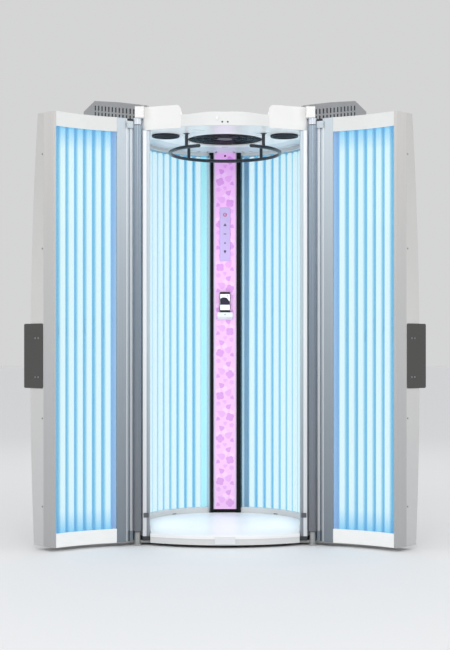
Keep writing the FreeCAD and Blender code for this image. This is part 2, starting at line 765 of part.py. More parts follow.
def casings():
    """Slanted side panels, rear corner panels and the rear panel, mitred to each other."""
    bottom, top = size("base_top"), size("deck_top")
    depth = size("casing_thick")
    post_rear = size("post_rear_y")
    run = (post_rear - CASING_CORNER[1] - depth * SLANT_IN[1]) / cosine(OPEN)
    near = (CASING_CORNER[0] + depth * SLANT_IN[0] + run * sine(OPEN), post_rear)
    beside_post = (CASING_CORNER[0], post_rear)
    for side, name in SIDE_NAMES.items():
        slant = mirrored([CASING_CORNER, CASING_OUTER, OUTER_MITRE, near, beside_post], side)
        corner = mirrored([CASING_OUTER, CASING_REAR, REAR_MITRE, OUTER_MITRE], side)
        keep(prism(f"side_casing_{name}", [slant], bottom, top))
        keep(prism(f"corner_casing_{name}", [corner], bottom, top))
    rear = [(-CASING_REAR[0], CASING_REAR[1]), (-REAR_MITRE[0], REAR_MITRE[1]), REAR_MITRE, CASING_REAR]
    panel = prism("rear_casing", [rear], bottom, top)
    hole = new_sketch(panel, "XZ_Plane", name="inlet_hole")
    draw_circle(hole, size("inlet_x"), size("inlet_z"), size("inlet_radius") + size("running_play"))
    pocket(panel, hole)
    keep(panel)


def front_post(side, name):
    """Hollow aluminium post with a stepped front, beside each hinge."""
    inner, outer, step = size("post_inner_x"), size("post_outer_x"), size("post_step_x")
    front, rear, wall = size("post_front_y"), size("post_rear_y"), size("post_wall")
    recess = front + size("post_step")
    section = [(inner, recess), (step, recess), (step, front), (outer, front), (outer, rear), (inner, rear)]
    bore = [
        (inner + wall, recess + wall), (step + wall, recess + wall), (step + wall, front + wall),
        (outer - wall, front + wall), (outer - wall, rear - wall), (inner + wall, rear - wall),
    ]
    rings = [mirrored(section, side), mirrored(bore, side)]
    keep(prism(f"front_post_{name}", rings, size("base_top"), size("hump_bottom")))


def power_inlet():
    """Cable gland through the rear panel."""
    rear = size("casing_rear_y")
    body = new_body("power_inlet")
    inside = rear - size("casing_thick")
    x, z, radius = size("inlet_x"), size("inlet_z"), size("inlet_radius")
    stem = new_sketch(body, "XZ_Plane", -inside, "stem")
    draw_ring(stem, even_sided(x, z, radius, STEM_SIDES))
    pad(body, stem, rear - inside + size("inlet_reach"), reverse=True)
    nut = new_sketch(body, "XZ_Plane", -rear, "nut")
    draw_ring(nut, even_sided(x, z, size("inlet_flange"), NUT_SIDES))
    pad(body, nut, size("inlet_reach") / 2, reverse=True)
    bore = new_sketch(body, "XZ_Plane", name="bore")
    draw_ring(bore, even_sided(x, z, radius / 2, STEM_SIDES))
    pocket(body, bore)
    keep(body)


# ---------------------------------------------------------------------------------------------------------
# Lamp walls
# ---------------------------------------------------------------------------------------------------------

def lamp_tube(bottom, top):
    """One closed glass tube, hollow inside and many-sided, standing on the plan's origin."""
    def stick(inset):
        ring = even_sided(as_size(0), as_size(0), size("lamp_radius") - inset, LAMP_SIDES)
        low, high = bottom + inset, top - inset
        points = [Vector(x.number, y.number, low.number) for x, y in ring]
        return Part.Face(Part.makePolygon(points + points[:1])).extrude(Vector(0, 0, (high - low).number))

    return stick(as_size(0)).cut(stick(size("lamp_glass")))


def lamp_group(label, places, bottom, top):
    """Copies of one lamp tube at the given places of the plan."""
    tube = lamp_tube(bottom, top)
    tubes = []
    for x, y in places:
        copy = tube.copy()
        copy.translate(Vector(as_size(x).number, as_size(y).number, 0))
        tubes.append(copy)
    group = doc.addObject("Part::Feature", label)
    group.Label = label
    group.Shape = Part.makeCompound(tubes)
    return group


def wall_lamp_places():
    """Lamp axes along both walls, round the rear and then straight on to the posts."""
    turn_x, turn_y = on_wall(LAMP_LINE, WALL_TURN, 1)
    places = []
    for side in SIDE_NAMES:
        for step in range(ARC_LAMPS):
            places.append(on_wall(LAMP_LINE, size("first_lamp_angle") + step * size("lamp_step_angle"), side))
        for step in range(STRAIGHT_LAMPS):
            run = size("straight_lead") + step * size("lamp_pitch")
            places.append((side * (turn_x + run * cosine(WALL_TURN)), turn_y - run * sine(WALL_TURN)))
    return places


def lamp_walls():
    """Clear walls in their trims, the lamps behind them, and the reflectors with the lamp holder rails."""
    end_y = size("wall_end_y")
    floor_level, ceiling = size("base_top"), size("ceiling_bottom")
    low, high = floor_level + size("lower_trim"), ceiling - size("upper_trim")
    rail = size("rail_height")
    for side, name in SIDE_NAMES.items():
        clear = wall_strip(CLEAR_INNER, CLEAR_OUTER, side, end_y)
        keep(prism(f"wall_acrylic_{name}", [clear], low, high))
        trims = new_body(f"wall_trim_{name}")
        strip = wall_strip(TRIM_INNER, TRIM_OUTER, side, end_y)
        add_prism(trims, [strip], floor_level, low, name="lower")
        add_prism(trims, [strip], high, ceiling, name="upper")
        keep(trims)
    reflectors = new_body("wall_reflectors")
    reflector_end = size("reflector_end_y")
    sheets = [wall_strip(REFLECTOR_INNER, REFLECTOR_OUTER, side, reflector_end) for side in SIDE_NAMES]
    rails = [wall_strip(LAMP_LINE - size("rail_lip"), REFLECTOR_OUTER, side, reflector_end)
             for side in SIDE_NAMES]
    add_prism(reflectors, rails, floor_level, floor_level + rail, name="lower_rail")
    add_prism(reflectors, sheets, floor_level + rail, ceiling - rail, name="sheet")
    add_prism(reflectors, rails, ceiling - rail, ceiling, name="upper_rail")
    keep(reflectors)
    keep(lamp_group("wall_lamps", wall_lamp_places(), floor_level + rail, ceiling - rail))


# ---------------------------------------------------------------------------------------------------------
# Column
# ---------------------------------------------------------------------------------------------------------

DECOR_BACK = size("column_front_y") + size("decor_recess") + size("decor_thick")
DECOR_FACE = size("column_front_y") + size("decor_recess")


def column():
    """Black housing, the decorated panel in its recess and the touch strip on it."""
    half, wall = size("column_half"), size("column_wall")
    front, rear = size("column_front_y"), size("column_rear_y")
    bay = size("decor_half") + size("decor_play")
    section = [
        (-half, front), (-bay, front), (-bay, DECOR_BACK), (bay, DECOR_BACK), (bay, front), (half, front),
        (half, rear), (half - wall, rear), (half - wall, DECOR_BACK + wall),
        (wall - half, DECOR_BACK + wall), (wall - half, rear), (-half, rear),
    ]
    keep(prism("column_housing", [section], size("floor_top"), size("ceiling_bottom")))
    decor = size("decor_half")
    keep(block("column_decor_panel", -decor, decor, DECOR_FACE, DECOR_BACK,
               size("decor_bottom"), size("ceiling_bottom")))
    keys = size("keys_half")
    keep(block("control_panel", -keys, keys, DECOR_FACE - size("keys_thick"), DECOR_FACE,
               size("keys_bottom"), size("keys_top")))


def phone_dock():
    """Shallow tray on the decorated panel, with a slot that holds the phone upright."""
    half = size("dock_half")
    bottom, top = size("dock_bottom"), size("dock_top")
    front = DECOR_FACE - size("dock_depth")
    dock = new_body("phone_dock")
    side_view = new_sketch(dock, "YZ_Plane", -half, "side_view")
    draw_ring(side_view, [(DECOR_FACE, bottom), (DECOR_FACE, top), (front, top),
                          (front, bottom + size("dock_slope"))])
    pad(dock, side_view, 2 * half)
    play = size("slot_play")
    back = DECOR_FACE - size("phone_back")
    reach = size("phone_half") + play
    slot = rectangle(-reach, reach, back - size("phone_thick") - play, back + play)
    cut_prism(dock, [slot], size("phone_seat"), top)
    keep(dock)


def phone():
    """Handset that stands in the dock, with rounded corners."""
    half, corner = size("phone_half"), size("phone_corner")
    back = DECOR_FACE - size("phone_back")
    low = size("phone_seat") + size("seat_gap")
    high = low + size("phone_height")
    body = new_body("phone")
    face = new_sketch(body, "XZ_Plane", -back, "face")
    draw_ring(face, [
        (half - corner, low), (half, low + corner, corner), (half, high - corner),
        (half - corner, high, corner), (corner - half, high), (-half, high - corner, corner),
        (-half, low + corner), (corner - half, low, corner),
    ])
    pad(body, face, size("phone_thick"))
    keep(body)


# ---------------------------------------------------------------------------------------------------------
# Ceiling and handrail
# ---------------------------------------------------------------------------------------------------------

def ceiling_parts():
    """Ceiling panel with the fan's opening, and the slotted air band behind it."""
    bottom, top = size("ceiling_bottom"), size("deck_top")
    setback = size("moulding_wall") + size("running_play")
    half, curve = size("band_half"), size("band_radius")
    outline = cabin_outline(TRIM_OUTER, setback, size("post_inner_x"))
    front, beside, turned, middle, opposite, far_side, far_front = outline
    level = turned[1]
    panel = [front, beside, turned, (half, level), (-half, level, curve), opposite[:2], far_side, far_front]
    keep(prism("ceiling_panel", [panel], bottom, top, [(0, 0, size("fan_radius"))]))
    band = prism("ceiling_air_band", [[(half, level, -curve), turned, middle, opposite, (-half, level)]],
                 bottom, top)
    near, far, spread = size("band_slot_near"), size("band_slot_far"), size("band_slot_half_angle")
    slots = []
    for number in range(1, BAND_SLOTS + 1):
        angle = number * size("band_slot_step_angle")
        for side in SIDE_NAMES:
            slots.append([on_wall(near, angle - spread, side), on_wall(near, angle + spread, side),
                          on_wall(far, angle + spread, side), on_wall(far, angle - spread, side)])
    cut_prism(band, slots, bottom, top, name="slots")
    keep(band)


def handrail():
    """C-shaped ring hung from the ceiling by four short posts, which are coped to it."""
    x, radius, mouth = size("rail_post_x"), size("rail_ring_radius"), size("rail_mouth_angle")
    ring = new_body("handrail_ring")
    section = new_sketch(ring, "XZ_Plane", name="section")
    draw_ring(section, even_sided(radius, as_size(0), size("rail_tube"), RAIL_SIDES))
    sweep = ring.newObject("PartDesign::Revolution", "handrail_ring_sweep")
    sweep.Profile = section
    sweep.ReferenceAxis = (section, ["V_Axis"])
    bind(sweep, "Angle", FULL_TURN - 2 * mouth)
    turn(ring, as_size(0), as_size(0), mouth - RIGHT_ANGLE)
    bind(ring, ".Placement.Base.z", size("rail_z"))
    keep(ring)
    y = root(radius * radius - x * x)
    top = size("ceiling_bottom")
    pieces = []
    for number, (across, along) in enumerate([(-x, -y), (x, -y), (x, y), (-x, y)]):
        pieces.append(cylinder(f"rail_post_{number}", across, along, size("rail_z"), top,
                               size("rail_post_radius")))
        pieces.append(cylinder(f"rail_flange_{number}", across, along, top - size("rail_flange_thick"), top,
                               size("rail_flange")))
    keep(cut("handrail_posts", fuse("rail_posts_whole", pieces), ring))


def blade_ring(body, hub, tip, bottom, rise, name):
    """Adds pitched blades round a hub: one flat bar through the hub's axis, cut to length and repeated."""
    pitch, thick = size("fan_pitch_angle"), size("blade_thick")
    reach = (rise - thick * cosine(pitch)) / (2 * sine(pitch))
    middle = bottom + rise / 2
    half = thick / 2
    across = (reach * cosine(pitch), reach * sine(pitch))
    lift = (-half * sine(pitch), half * cosine(pitch))
    root_depth = size("blade_root")
    sketch = new_sketch(body, "YZ_Plane", hub - root_depth, name)
    draw_ring(sketch, [
        (-across[0] - lift[0], middle - across[1] - lift[1]),
        (across[0] - lift[0], middle + across[1] - lift[1]),
        (across[0] + lift[0], middle + across[1] + lift[1]),
        (-across[0] + lift[0], middle - across[1] + lift[1]),
    ])
    repeat_round(body, pad(body, sketch, tip - hub + root_depth), BLADES)


def rotor(label, tip, bottom, rise):
    """Fan rotor with a bored hub, standing on its own axis."""
    body = new_body(label)
    add_prism(body, [], bottom, bottom + rise, [(0, 0, size("fan_hub"))], "hub")
    blade_ring(body, size("fan_hub"), tip, bottom, rise, "blade")
    bore = new_sketch(body, "XY_Plane", bottom, "bore")
    draw_circle(bore, 0, 0, size("shaft_radius") + size("running_play"))
    feature = pocket(body, bore, rise, reverse=True)
    body.Tip = feature
    return body


def ceiling_fan():
    """Guard in the ceiling, the rotor above it and its motor under the roof."""
    base = size("deck_top")
    top = base + size("guard_thick")
    radius, rim, wire = size("fan_radius"), size("guard_rim"), size("guard_wire")
    guard = prism("fan_guard", [], base, top, [(0, 0, radius + rim / 2), (0, 0, radius - rim / 2)])
    hub = size("guard_hub")
    add_prism(guard, [], base, top, [(0, 0, hub)], "hub")
    spacing = (radius - rim / 2 - hub) / (GUARD_RINGS + 1)
    for number in range(1, GUARD_RINGS + 1):
        middle = hub + number * spacing
        add_prism(guard, [], base, top, [(0, 0, middle + wire / 2), (0, 0, middle - wire / 2)],
                  f"ring_{number}")
    spoke_sketch = new_sketch(guard, "XY_Plane", base, "spoke")
    draw_ring(spoke_sketch, rectangle(hub - wire, radius - rim / 2 + wire / 2, -wire / 2, wire / 2))
    repeat_round(guard, pad(guard, spoke_sketch, top - base), GUARD_SPOKES)
    keep(guard)
    low, high = size("fan_bottom"), size("fan_bottom") + size("fan_rise")
    keep(rotor("fan_rotor", size("fan_blade"), low, size("fan_rise")))
    roof_inside = size("roof_top") - size("moulding_wall")
    motor = cylinder("fan_motor_can", 0, 0, high + size("motor_gap"), roof_inside, size("motor_radius"))
    shaft = cylinder("fan_shaft", 0, 0, low, high + size("motor_gap"), size("shaft_radius"))
    keep(fuse("fan_motor", [motor, shaft]))


def speakers():
    """Two round speakers under the ceiling, each a dished ring with a closed front."""
    radius, depth = size("speaker_radius"), size("speaker_depth")
    top = size("ceiling_bottom")
    x, y = size("speaker_x"), size("speaker_y")
    body = new_body("speakers")
    add_prism(body, [], top - depth, top, [(side * x, y, radius) for side in SIDE_NAMES], "rings")
    dish = radius - depth
    cut_prism(body, [], top - depth, top - depth / 2, [(side * x, y, dish) for side in SIDE_NAMES], "dishes")
    keep(body)


# ---------------------------------------------------------------------------------------------------------
# Roof
# ---------------------------------------------------------------------------------------------------------

def roof_cover():
    """Roof over the cabin with a curved front fascia and a slightly raised middle."""
    x = size("hump_inner_x") - size("running_play")
    wall, rear = size("moulding_wall"), size("casing_rear_y")
    deck, low_top = size("deck_top"), size("roof_top")
    high_top = low_top + size("crown_rise")
    front = front_line(x)
    outline = [(x, front, size("front_radius")), (x, rear), (-x, rear), (-x, front)]
    cover = prism("roof_cover", [outline], deck, high_top)
    crown = new_sketch(cover, "XZ_Plane", name="crown")
    half, foot = size("crown_half"), size("crown_foot")
    above = high_top + size("crown_rise")
    draw_ring(crown, [(-x - wall, low_top), (-foot, low_top), (-half, high_top), (-half, above),
                      (-x - wall, above)])
    draw_ring(crown, [(x + wall, low_top), (foot, low_top), (half, high_top), (half, above),
                      (x + wall, above)])
    pocket(cover, crown)
    inside = front_line(x - wall, wall)
    hollow = [(x - wall, inside, size("front_radius") - wall), (x - wall, rear - wall),
              (wall - x, rear - wall), (wall - x, inside)]
    cut_prism(cover, [hollow], deck, low_top - wall)
    lip = [(x, front, size("front_radius")), (x, front_line(x, wall)),
           (-x, front_line(x, wall), wall - size("front_radius")), (-x, front)]
    add_prism(cover, [lip], size("ceiling_bottom"), deck, name="fascia_lip")
    keep(cover)


def roof_hump(side, name):
    """Raised moulding beside the roof cover, with the box that covers the door's upper hinge."""
    inner, outer = size("hump_inner_x"), size("hump_outer_x")
    wall, rear = size("moulding_wall"), size("casing_rear_y")
    deck, top = size("deck_top"), size("hump_top")
    edge = size("front_radius")
    outline = [(side * inner, front_line(inner)), (side * outer, front_line(outer), side * edge),
               (side * outer, rear), (side * inner, rear)]
    hump = prism(f"roof_hump_{name}", [outline], deck, top)

    def is_inner_top(edge):
        box = edge.BoundBox
        off_line = abs(abs(box.XMin) - inner.number) + abs(abs(box.XMax) - inner.number)
        return level_at(edge, top) and off_line < 0.01

    round_edges(hump, size("hump_corner"), is_inner_top)
    box = mirrored(rectangle(outer - wall, size("hinge_box_outer_x"), size("hinge_box_front_y"),
                             size("hinge_box_rear_y")), side)
    add_prism(hump, [box], size("hinge_box_bottom"), top, name="hinge_box")
    low_in, low_out = inner + wall, outer - wall
    hollow = [(side * low_in, front_line(low_in, wall)),
              (side * low_out, front_line(low_out, wall), side * (edge - wall)),
              (side * low_out, rear - wall), (side * low_in, rear - wall)]
    cut_prism(hump, [hollow], deck, top - size("hump_lid"))
    lip = [(side * inner, front_line(inner)), (side * outer, front_line(outer), side * edge),
           (side * outer, front_line(outer, wall)),
           (side * inner, front_line(inner, wall), side * (wall - edge))]
    add_prism(hump, [lip], size("hump_bottom"), deck, name="front_lip")
    keep(hump)


def over_deck(rise):
    """Height of a point of the grille hoods, given by its rise over the casings."""
    return size("deck_top") + size(rise)


HOOD_PEAK = over_deck("hood_peak_rise")
EXHAUST_BOTTOM = HOOD_PEAK - size("exhaust_drop")


def along_casing(point):
    """A point of the plan in the slanted casing's own axes: along its front, and in from it."""
    run = (point[0] - CASING_CORNER[0], point[1] - CASING_CORNER[1])
    return (run[0] * sine(OPEN) + run[1] * cosine(OPEN), run[1] * sine(OPEN) - run[0] * cosine(OPEN))


def inset_ring(ring, depth):
    """A ring drawn anticlockwise, with every side moved in by a depth."""
    after = ring[1:] + ring[:1]
    normals = [unit_inward(start, end) for start, end in zip(ring, after)]
    before = normals[-1:] + normals[:-1]
    return [mitre(point, first, second, depth) for point, first, second in zip(ring, before, normals)]


def hood_outline():
    """Plan of the hood in the slanted casing's axes, round the hump and behind its hinge box."""
    gap = 4 * size("running_play")
    beside = size("hump_outer_x") + gap
    inner_rear = along_casing((beside, size("casing_rear_y")))
    front_y = size("hinge_box_rear_y") + gap
    inner_front = along_casing((beside, front_y))
    near = ((front_y - CASING_CORNER[1]) / cosine(OPEN), as_size(0))
    outer = (size("casing_length"), as_size(0))
    return [near, outer, along_casing(CASING_REAR), inner_rear, inner_front]


def hood_solid(label, side, outline, depth):
    """The hood's form lowered by a depth: a stepped skyline along its front, falling to the rear."""
    wall = size("hood_wall")
    deck, peak_top = size("deck_top"), HOOD_PEAK - depth
    solid = new_body(label)
    add_prism(solid, [[(along, side * inward) for along, inward in outline]], deck, peak_top)
    above = peak_top + wall
    rear, inner_rear, inner_front = outline[2:]
    low_end, far_end = inner_front[0] - wall, rear[0] + wall
    step = size("hood_step_at")
    end_top = over_deck("hood_end_rise") - depth
    skyline = new_sketch(solid, "XZ_Plane", name="skyline")
    draw_ring(skyline, [
        (low_end, over_deck("hood_inner_rise") - depth), (step, over_deck("hood_step_low_rise") - depth),
        (step + wall, over_deck("hood_step_high_rise") - depth), (size("hood_peak"), peak_top),
        (size("casing_length"), end_top), (far_end, end_top), (far_end, above), (low_end, above),
    ])
    pocket(solid, skyline)
    slope = new_sketch(solid, "YZ_Plane", name="slope")
    deep, ridge = inner_rear[1] + wall, size("exhaust_in")
    draw_ring(slope, [(side * ridge, peak_top), (side * deep, over_deck("hood_rear_rise") - depth),
                      (side * deep, above), (side * ridge, above)])
    pocket(solid, slope)
    return turn_to_casing(solid, side)


def hood_slots(label, side):
    """Rows of upright slots that follow the hood's skyline, as a cutting body."""
    wall = size("hood_wall")
    slots = new_body(label)
    sketch = new_sketch(slots, "XZ_Plane", -2 * wall, "slots")
    wide, tall = size("slot_width"), size("slot_height")
    for number in range(HOOD_SLOTS):
        left = size("slot_first") + number * size("slot_pitch")
        high = over_deck("slot_rise") + number * size("slot_pitch") * size("slot_climb")
        draw_ring(sketch, rectangle(left, left + wide, high - tall, high))
    row = pad(slots, sketch, 4 * wall)
    rows = slots.newObject("PartDesign::LinearPattern", f"{slots.Name}_rows")
    rows.Originals = [row]
    rows.Direction = (origin_feature(slots, "Z_Axis"), [""])
    rows.Reversed = True
    rows.Mode = "Spacing"
    bind(rows, "Offset", size("slot_row"))
    rows.Occurrences = HOOD_ROWS
    slots.Tip = rows
    return turn_to_casing(slots, side)


def exhaust_place(side):
    """Plan of an exhaust fan's axis."""
    along, inward = size("exhaust_along"), size("exhaust_in")
    return (side * (CASING_CORNER[0] + along * sine(OPEN) - inward * cosine(OPEN)),
            CASING_CORNER[1] + along * cosine(OPEN) + inward * sine(OPEN))


def roof_grille(side, name):
    """Slotted sheet hood over a side casing, with the exhaust fan's motor under its top."""
    outline = hood_outline()
    wall = size("hood_wall")
    outside = hood_solid(f"hood_outside_{name}", side, outline, as_size(0))
    inside = hood_solid(f"hood_inside_{name}", side, inset_ring(outline, wall), wall)
    sheet_hood = cut(f"hood_sheet_{name}", outside, inside)
    slotted = cut(f"hood_slotted_{name}", sheet_hood, hood_slots(f"hood_slots_{name}", side))
    x, y = exhaust_place(side)
    fan_top = EXHAUST_BOTTOM + size("exhaust_rise")
    motor_base = fan_top + size("motor_gap")
    motor = cylinder(f"exhaust_motor_{name}", x, y, motor_base, HOOD_PEAK - 2 * wall, size("exhaust_motor"))
    shaft = cylinder(f"exhaust_shaft_{name}", x, y, EXHAUST_BOTTOM, motor_base, size("shaft_radius"))
    keep(fuse(f"roof_grille_{name}", [slotted, motor, shaft]))


def exhaust_fan(side, name):
    """Rotor that draws the lamps' warm air out through the grille hood."""
    x, y = exhaust_place(side)
    fan = rotor(f"exhaust_fan_{name}", size("exhaust_radius"), EXHAUST_BOTTOM, size("exhaust_rise"))
    keep(turn(fan, x, y, as_size(0)))


def turn_to_casing(item, side):
    """Places an item drawn in the slanted casing's own axes."""
    angle = RIGHT_ANGLE - side * OPEN
    return turn(item, side * CASING_CORNER[0], CASING_CORNER[1], angle)


# ---------------------------------------------------------------------------------------------------------
# Hinges
# ---------------------------------------------------------------------------------------------------------

HINGE_X = size("hinge_x")
HINGE_Y = size("hinge_y")


def hinge_brackets(side, name):
    """Upper boss and lower leg of one door hinge, each with the pin that enters the door's barrel."""
    x = side * HINGE_X
    flange, gap = size("bush_flange"), size("seat_gap")
    pin, length = size("pin_radius"), size("pin_length")
    top_seat = size("barrel_top") + flange + gap
    low_seat = size("barrel_bottom") - flange - gap
    arm_x = [side * size("arm_inner_x"), x]
    low_x, high_x = (arm_x[1], arm_x[0]) if side == LEFT else (arm_x[0], arm_x[1])
    base = size("base_bottom")
    pieces = [
        cylinder(f"upper_boss_{name}", x, HINGE_Y, top_seat, size("hinge_box_bottom"), size("hinge_boss")),
        cylinder(f"upper_pin_{name}", x, HINGE_Y, size("barrel_top") - length, top_seat, pin),
        cylinder(f"lower_pad_{name}", x, HINGE_Y, 0, size("foot_height"), size("hinge_boss")),
        cylinder(f"lower_leg_{name}", x, HINGE_Y, size("foot_height"), low_seat, size("hinge_leg")),
        cylinder(f"lower_pin_{name}", x, HINGE_Y, low_seat, size("barrel_bottom") + length, pin),
        block(f"lower_arm_{name}", low_x, high_x, size("arm_front_y"), size("arm_rear_y"),
              base - size("arm_thick"), base),
    ]
    keep(fuse(f"hinge_brackets_{name}", pieces))


# ---------------------------------------------------------------------------------------------------------
# Doors: drawn with the hinge axis at the origin, along the door in x and out through its shell in side * y
# ---------------------------------------------------------------------------------------------------------

MITRE = size("mitre_angle")
FACE = size("face_offset")
PROFILE_BACK = FACE + size("profile_depth")
EDGE_BACK = FACE + size("edge_depth") * cosine(MITRE)
WINDOW_MIDDLE = (size("window_start") + size("window_end")) / 2
WINDOW_HALF = (size("window_end") - size("window_start")) / 2
WINDOW_INNER = (WINDOW_HALF * WINDOW_HALF / size("window_sag") + size("window_sag")) / 2
WINDOW_OUTER = WINDOW_INNER + size("window_thick")
WINDOW_CENTRE = FACE + size("window_setback") + size("window_sag") - WINDOW_INNER
CAP_FACE = root(WINDOW_HALF * WINDOW_HALF + (FACE - WINDOW_CENTRE) * (FACE - WINDOW_CENTRE))
DOOR_LAMP_LINE = WINDOW_OUTER + size("door_lamp_gap") + size("lamp_radius")
DOOR_REFLECTOR_INNER = DOOR_LAMP_LINE + size("lamp_radius") + size("door_lamp_gap")
DOOR_REFLECTOR_OUTER = DOOR_REFLECTOR_INNER + size("reflector_thick")


def free_edge(depth):
    """Place along the door of its slanted free edge, at a depth from the hinge axis."""
    return size("door_width") + depth * sine(MITRE) / cosine(MITRE)


def window_line(radius, along):
    """Depth of the curve of that radius about the window's centre, at a place along the door."""
    run = along - WINDOW_MIDDLE
    return WINDOW_CENTRE + root(radius * radius - run * run)


def rim_line(along):
    """Depth at which the shell begins behind the profiles."""
    start, end = size("shell_start"), free_edge(EDGE_BACK)
    return PROFILE_BACK + (along - start) * (EDGE_BACK - PROFILE_BACK) / (end - start)


def window_strip(inner, outer, side, inset):
    """Plan of a curved sheet across the window, short of its edges by an inset."""
    start, end = size("window_start") + inset, size("window_end") - inset
    return [
        (start, side * window_line(outer, start)),
        (end, side * window_line(outer, end), -side * outer),
        (end, side * window_line(inner, end)),
        (start, side * window_line(inner, start), side * inner),
    ]


def place_door_part(item, side):
    """Hangs a piece drawn in the door's own axes on its hinge, wide open."""
    angle = -OPEN if side == RIGHT else HALF_TURN + OPEN
    return keep(turn(item, side * HINGE_X, HINGE_Y, angle))


def door_hinge_profile(side, name):
    """Aluminium profile with the hinge barrel, the narrow strip, the groove and the broad face."""
    radius = size("barrel_radius")
    strip_start = root(radius * radius - FACE * FACE)
    strip, groove = size("strip_end"), size("groove_end")
    deep = FACE + size("groove_depth")
    window, wall = size("window_start"), size("profile_wall")
    start = size("shell_start")
    seat = root(radius * radius - start * start)
    bow = side * radius
    section = [
        (strip, side * FACE), (strip, side * deep), (groove, side * deep),
        (groove, side * FACE), (window, side * FACE), (window, side * PROFILE_BACK),
        (start, side * PROFILE_BACK), (start, side * seat), (-radius, 0, bow), (0, -side * radius, bow),
        (radius, 0, bow), (strip_start, side * FACE, bow),
    ]
    cavity = [(groove + wall, side * (FACE + wall)), (window - wall, side * (FACE + wall)),
              (window - wall, side * (PROFILE_BACK - wall)), (groove + wall, side * (PROFILE_BACK - wall))]
    bottom, top = size("door_bottom"), size("door_top")
    bore = size("pin_radius") + size("running_play") + size("bush_wall")
    profile = prism(f"door_hinge_profile_{name}", [section, cavity], bottom, top, [(0, 0, bore)])
    low, beside, high = -radius - wall, radius + wall, PROFILE_BACK + wall
    clear = [(low, low), (beside, low), (beside, FACE), (strip_start, FACE), (strip_start, high), (low, high)]
    clear = [(x, side * y) for x, y in clear]
    cut_prism(profile, [clear], bottom, size("barrel_bottom"), name="lower_clearance")
    cut_prism(profile, [clear], size("barrel_top"), top, name="upper_clearance")
    step = rectangle(strip_start - wall, groove - wall, -wall, PROFILE_BACK + wall)
    cut_prism(profile, [[(x, side * y) for x, y in step]], size("strip_top"), top, name="strip_top")
    place_door_part(profile, side)


def door_edge_profile(side, name):
    """Aluminium profile along the free edge, with its slanted outer face."""
    lip, wall = size("window_end"), size("edge_wall")
    inside = FACE + wall
    rim = free_edge(EDGE_BACK) - wall
    section = [
        (lip, side * FACE), (free_edge(FACE), side * FACE), (free_edge(EDGE_BACK), side * EDGE_BACK),
        (rim, side * rim_line(rim)), (free_edge(inside) - wall, side * inside), (lip, side * inside),
    ]
    profile = prism(f"door_edge_profile_{name}", [section], size("door_bottom"), size("door_top"))
    place_door_part(profile, side)


def edge_sketch(body, name, along, side):
    """A sketch in the slant of the free edge, across the door at a place along it."""
    sketch = new_sketch(body, "YZ_Plane", along, name)
    tilt = Rotation(Vector(0, -side, 0), MITRE.number)
    sketch.AttachmentOffset = Placement(Vector(0, 0, along.number), tilt)
    bind(sketch, ".AttachmentOffset.Base.z", along)
    bind(sketch, ".AttachmentOffset.Rotation.Angle", MITRE)
    return sketch


def shell_section(body, name, along, near, far, inset, side, slant=False):
    """One upright section of the shell: straight at its rim and bowed along its outer edge."""
    peak, bow = size("shell_peak"), size("shell_bow") - inset
    bottom, top = size("door_bottom") + inset, size("door_top") - inset
    low = far - inset - (bow - root(bow * bow - (peak - bottom) * (peak - bottom)))
    high = far - inset - (bow - root(bow * bow - (top - peak) * (top - peak)))
    sketch = edge_sketch(body, name, along, side) if slant else new_sketch(body, "YZ_Plane", along, name)
    draw_ring(sketch, [(side * near, bottom), (side * low, bottom), (side * high, top, side * bow),
                       (side * near, top)])
    return sketch


def loft(body, kind, name, sections):
    feature = body.newObject(kind, f"{body.Name}_{name}")
    feature.Profile = sections[0]
    feature.Sections = sections[1:]
    feature.Ruled = False
    return feature


def door_shell(side, name):
    """Moulded shell lofted through three bowed sections, and hollowed to an even wall."""
    start, middle = size("shell_start"), size("shell_middle_at")
    wall = size("shell_wall")
    slant_back = EDGE_BACK / cosine(MITRE)
    shell = new_body(f"door_shell_{name}")
    outer = [
        shell_section(shell, "outer_1", start, rim_line(start), size("shell_hinge"), 0, side),
        shell_section(shell, "outer_2", middle, rim_line(middle), size("shell_middle"), 0, side),
        shell_section(shell, "outer_3", size("door_width"), slant_back, size("shell_edge"), 0, side, True),
    ]
    loft(shell, "PartDesign::AdditiveLoft", "outside", outer)
    slip = wall / cosine(MITRE)
    near, far = start + wall, size("door_width") - slip
    inner = [
        shell_section(shell, "inner_1", near, rim_line(start) - wall, size("shell_hinge"), wall, side),
        shell_section(shell, "inner_2", middle, rim_line(middle) - wall, size("shell_middle"), wall, side),
        shell_section(shell, "inner_3", far, slant_back - wall, size("shell_edge"), wall, side, True),
    ]
    loft(shell, "PartDesign::SubtractiveLoft", "inside", inner)
    place_door_part(shell, side)


def door_window_parts(side, name):
    """Clear sheet, lamps and the reflector with its lamp holder rails."""
    play = size("window_play")
    clear = prism(f"door_acrylic_{name}", [window_strip(WINDOW_INNER, WINDOW_OUTER, side, play)],
                  size("window_bottom"), size("window_top"))
    place_door_part(clear, side)
    bottom, top, rail = size("door_lamp_bottom"), size("door_lamp_top"), size("rail_height")
    places = []
    for number in range(DOOR_LAMPS):
        along = size("door_lamp_first") + number * size("door_lamp_pitch")
        places.append((along, side * window_line(DOOR_LAMP_LINE, along)))
    place_door_part(lamp_group(f"door_lamps_{name}", places, bottom, top), side)
    reflector = new_body(f"door_reflector_{name}")
    inset = size("cap_wall") + play
    holder = window_strip(DOOR_LAMP_LINE - size("rail_lip"), DOOR_REFLECTOR_OUTER, side, inset)
    sheet = window_strip(DOOR_REFLECTOR_INNER, DOOR_REFLECTOR_OUTER, side, inset)
    add_prism(reflector, [holder], bottom - rail, bottom, name="lower_rail")
    add_prism(reflector, [sheet], bottom, top, name="sheet")
    add_prism(reflector, [holder], top, top + rail, name="upper_rail")
    place_door_part(reflector, side)


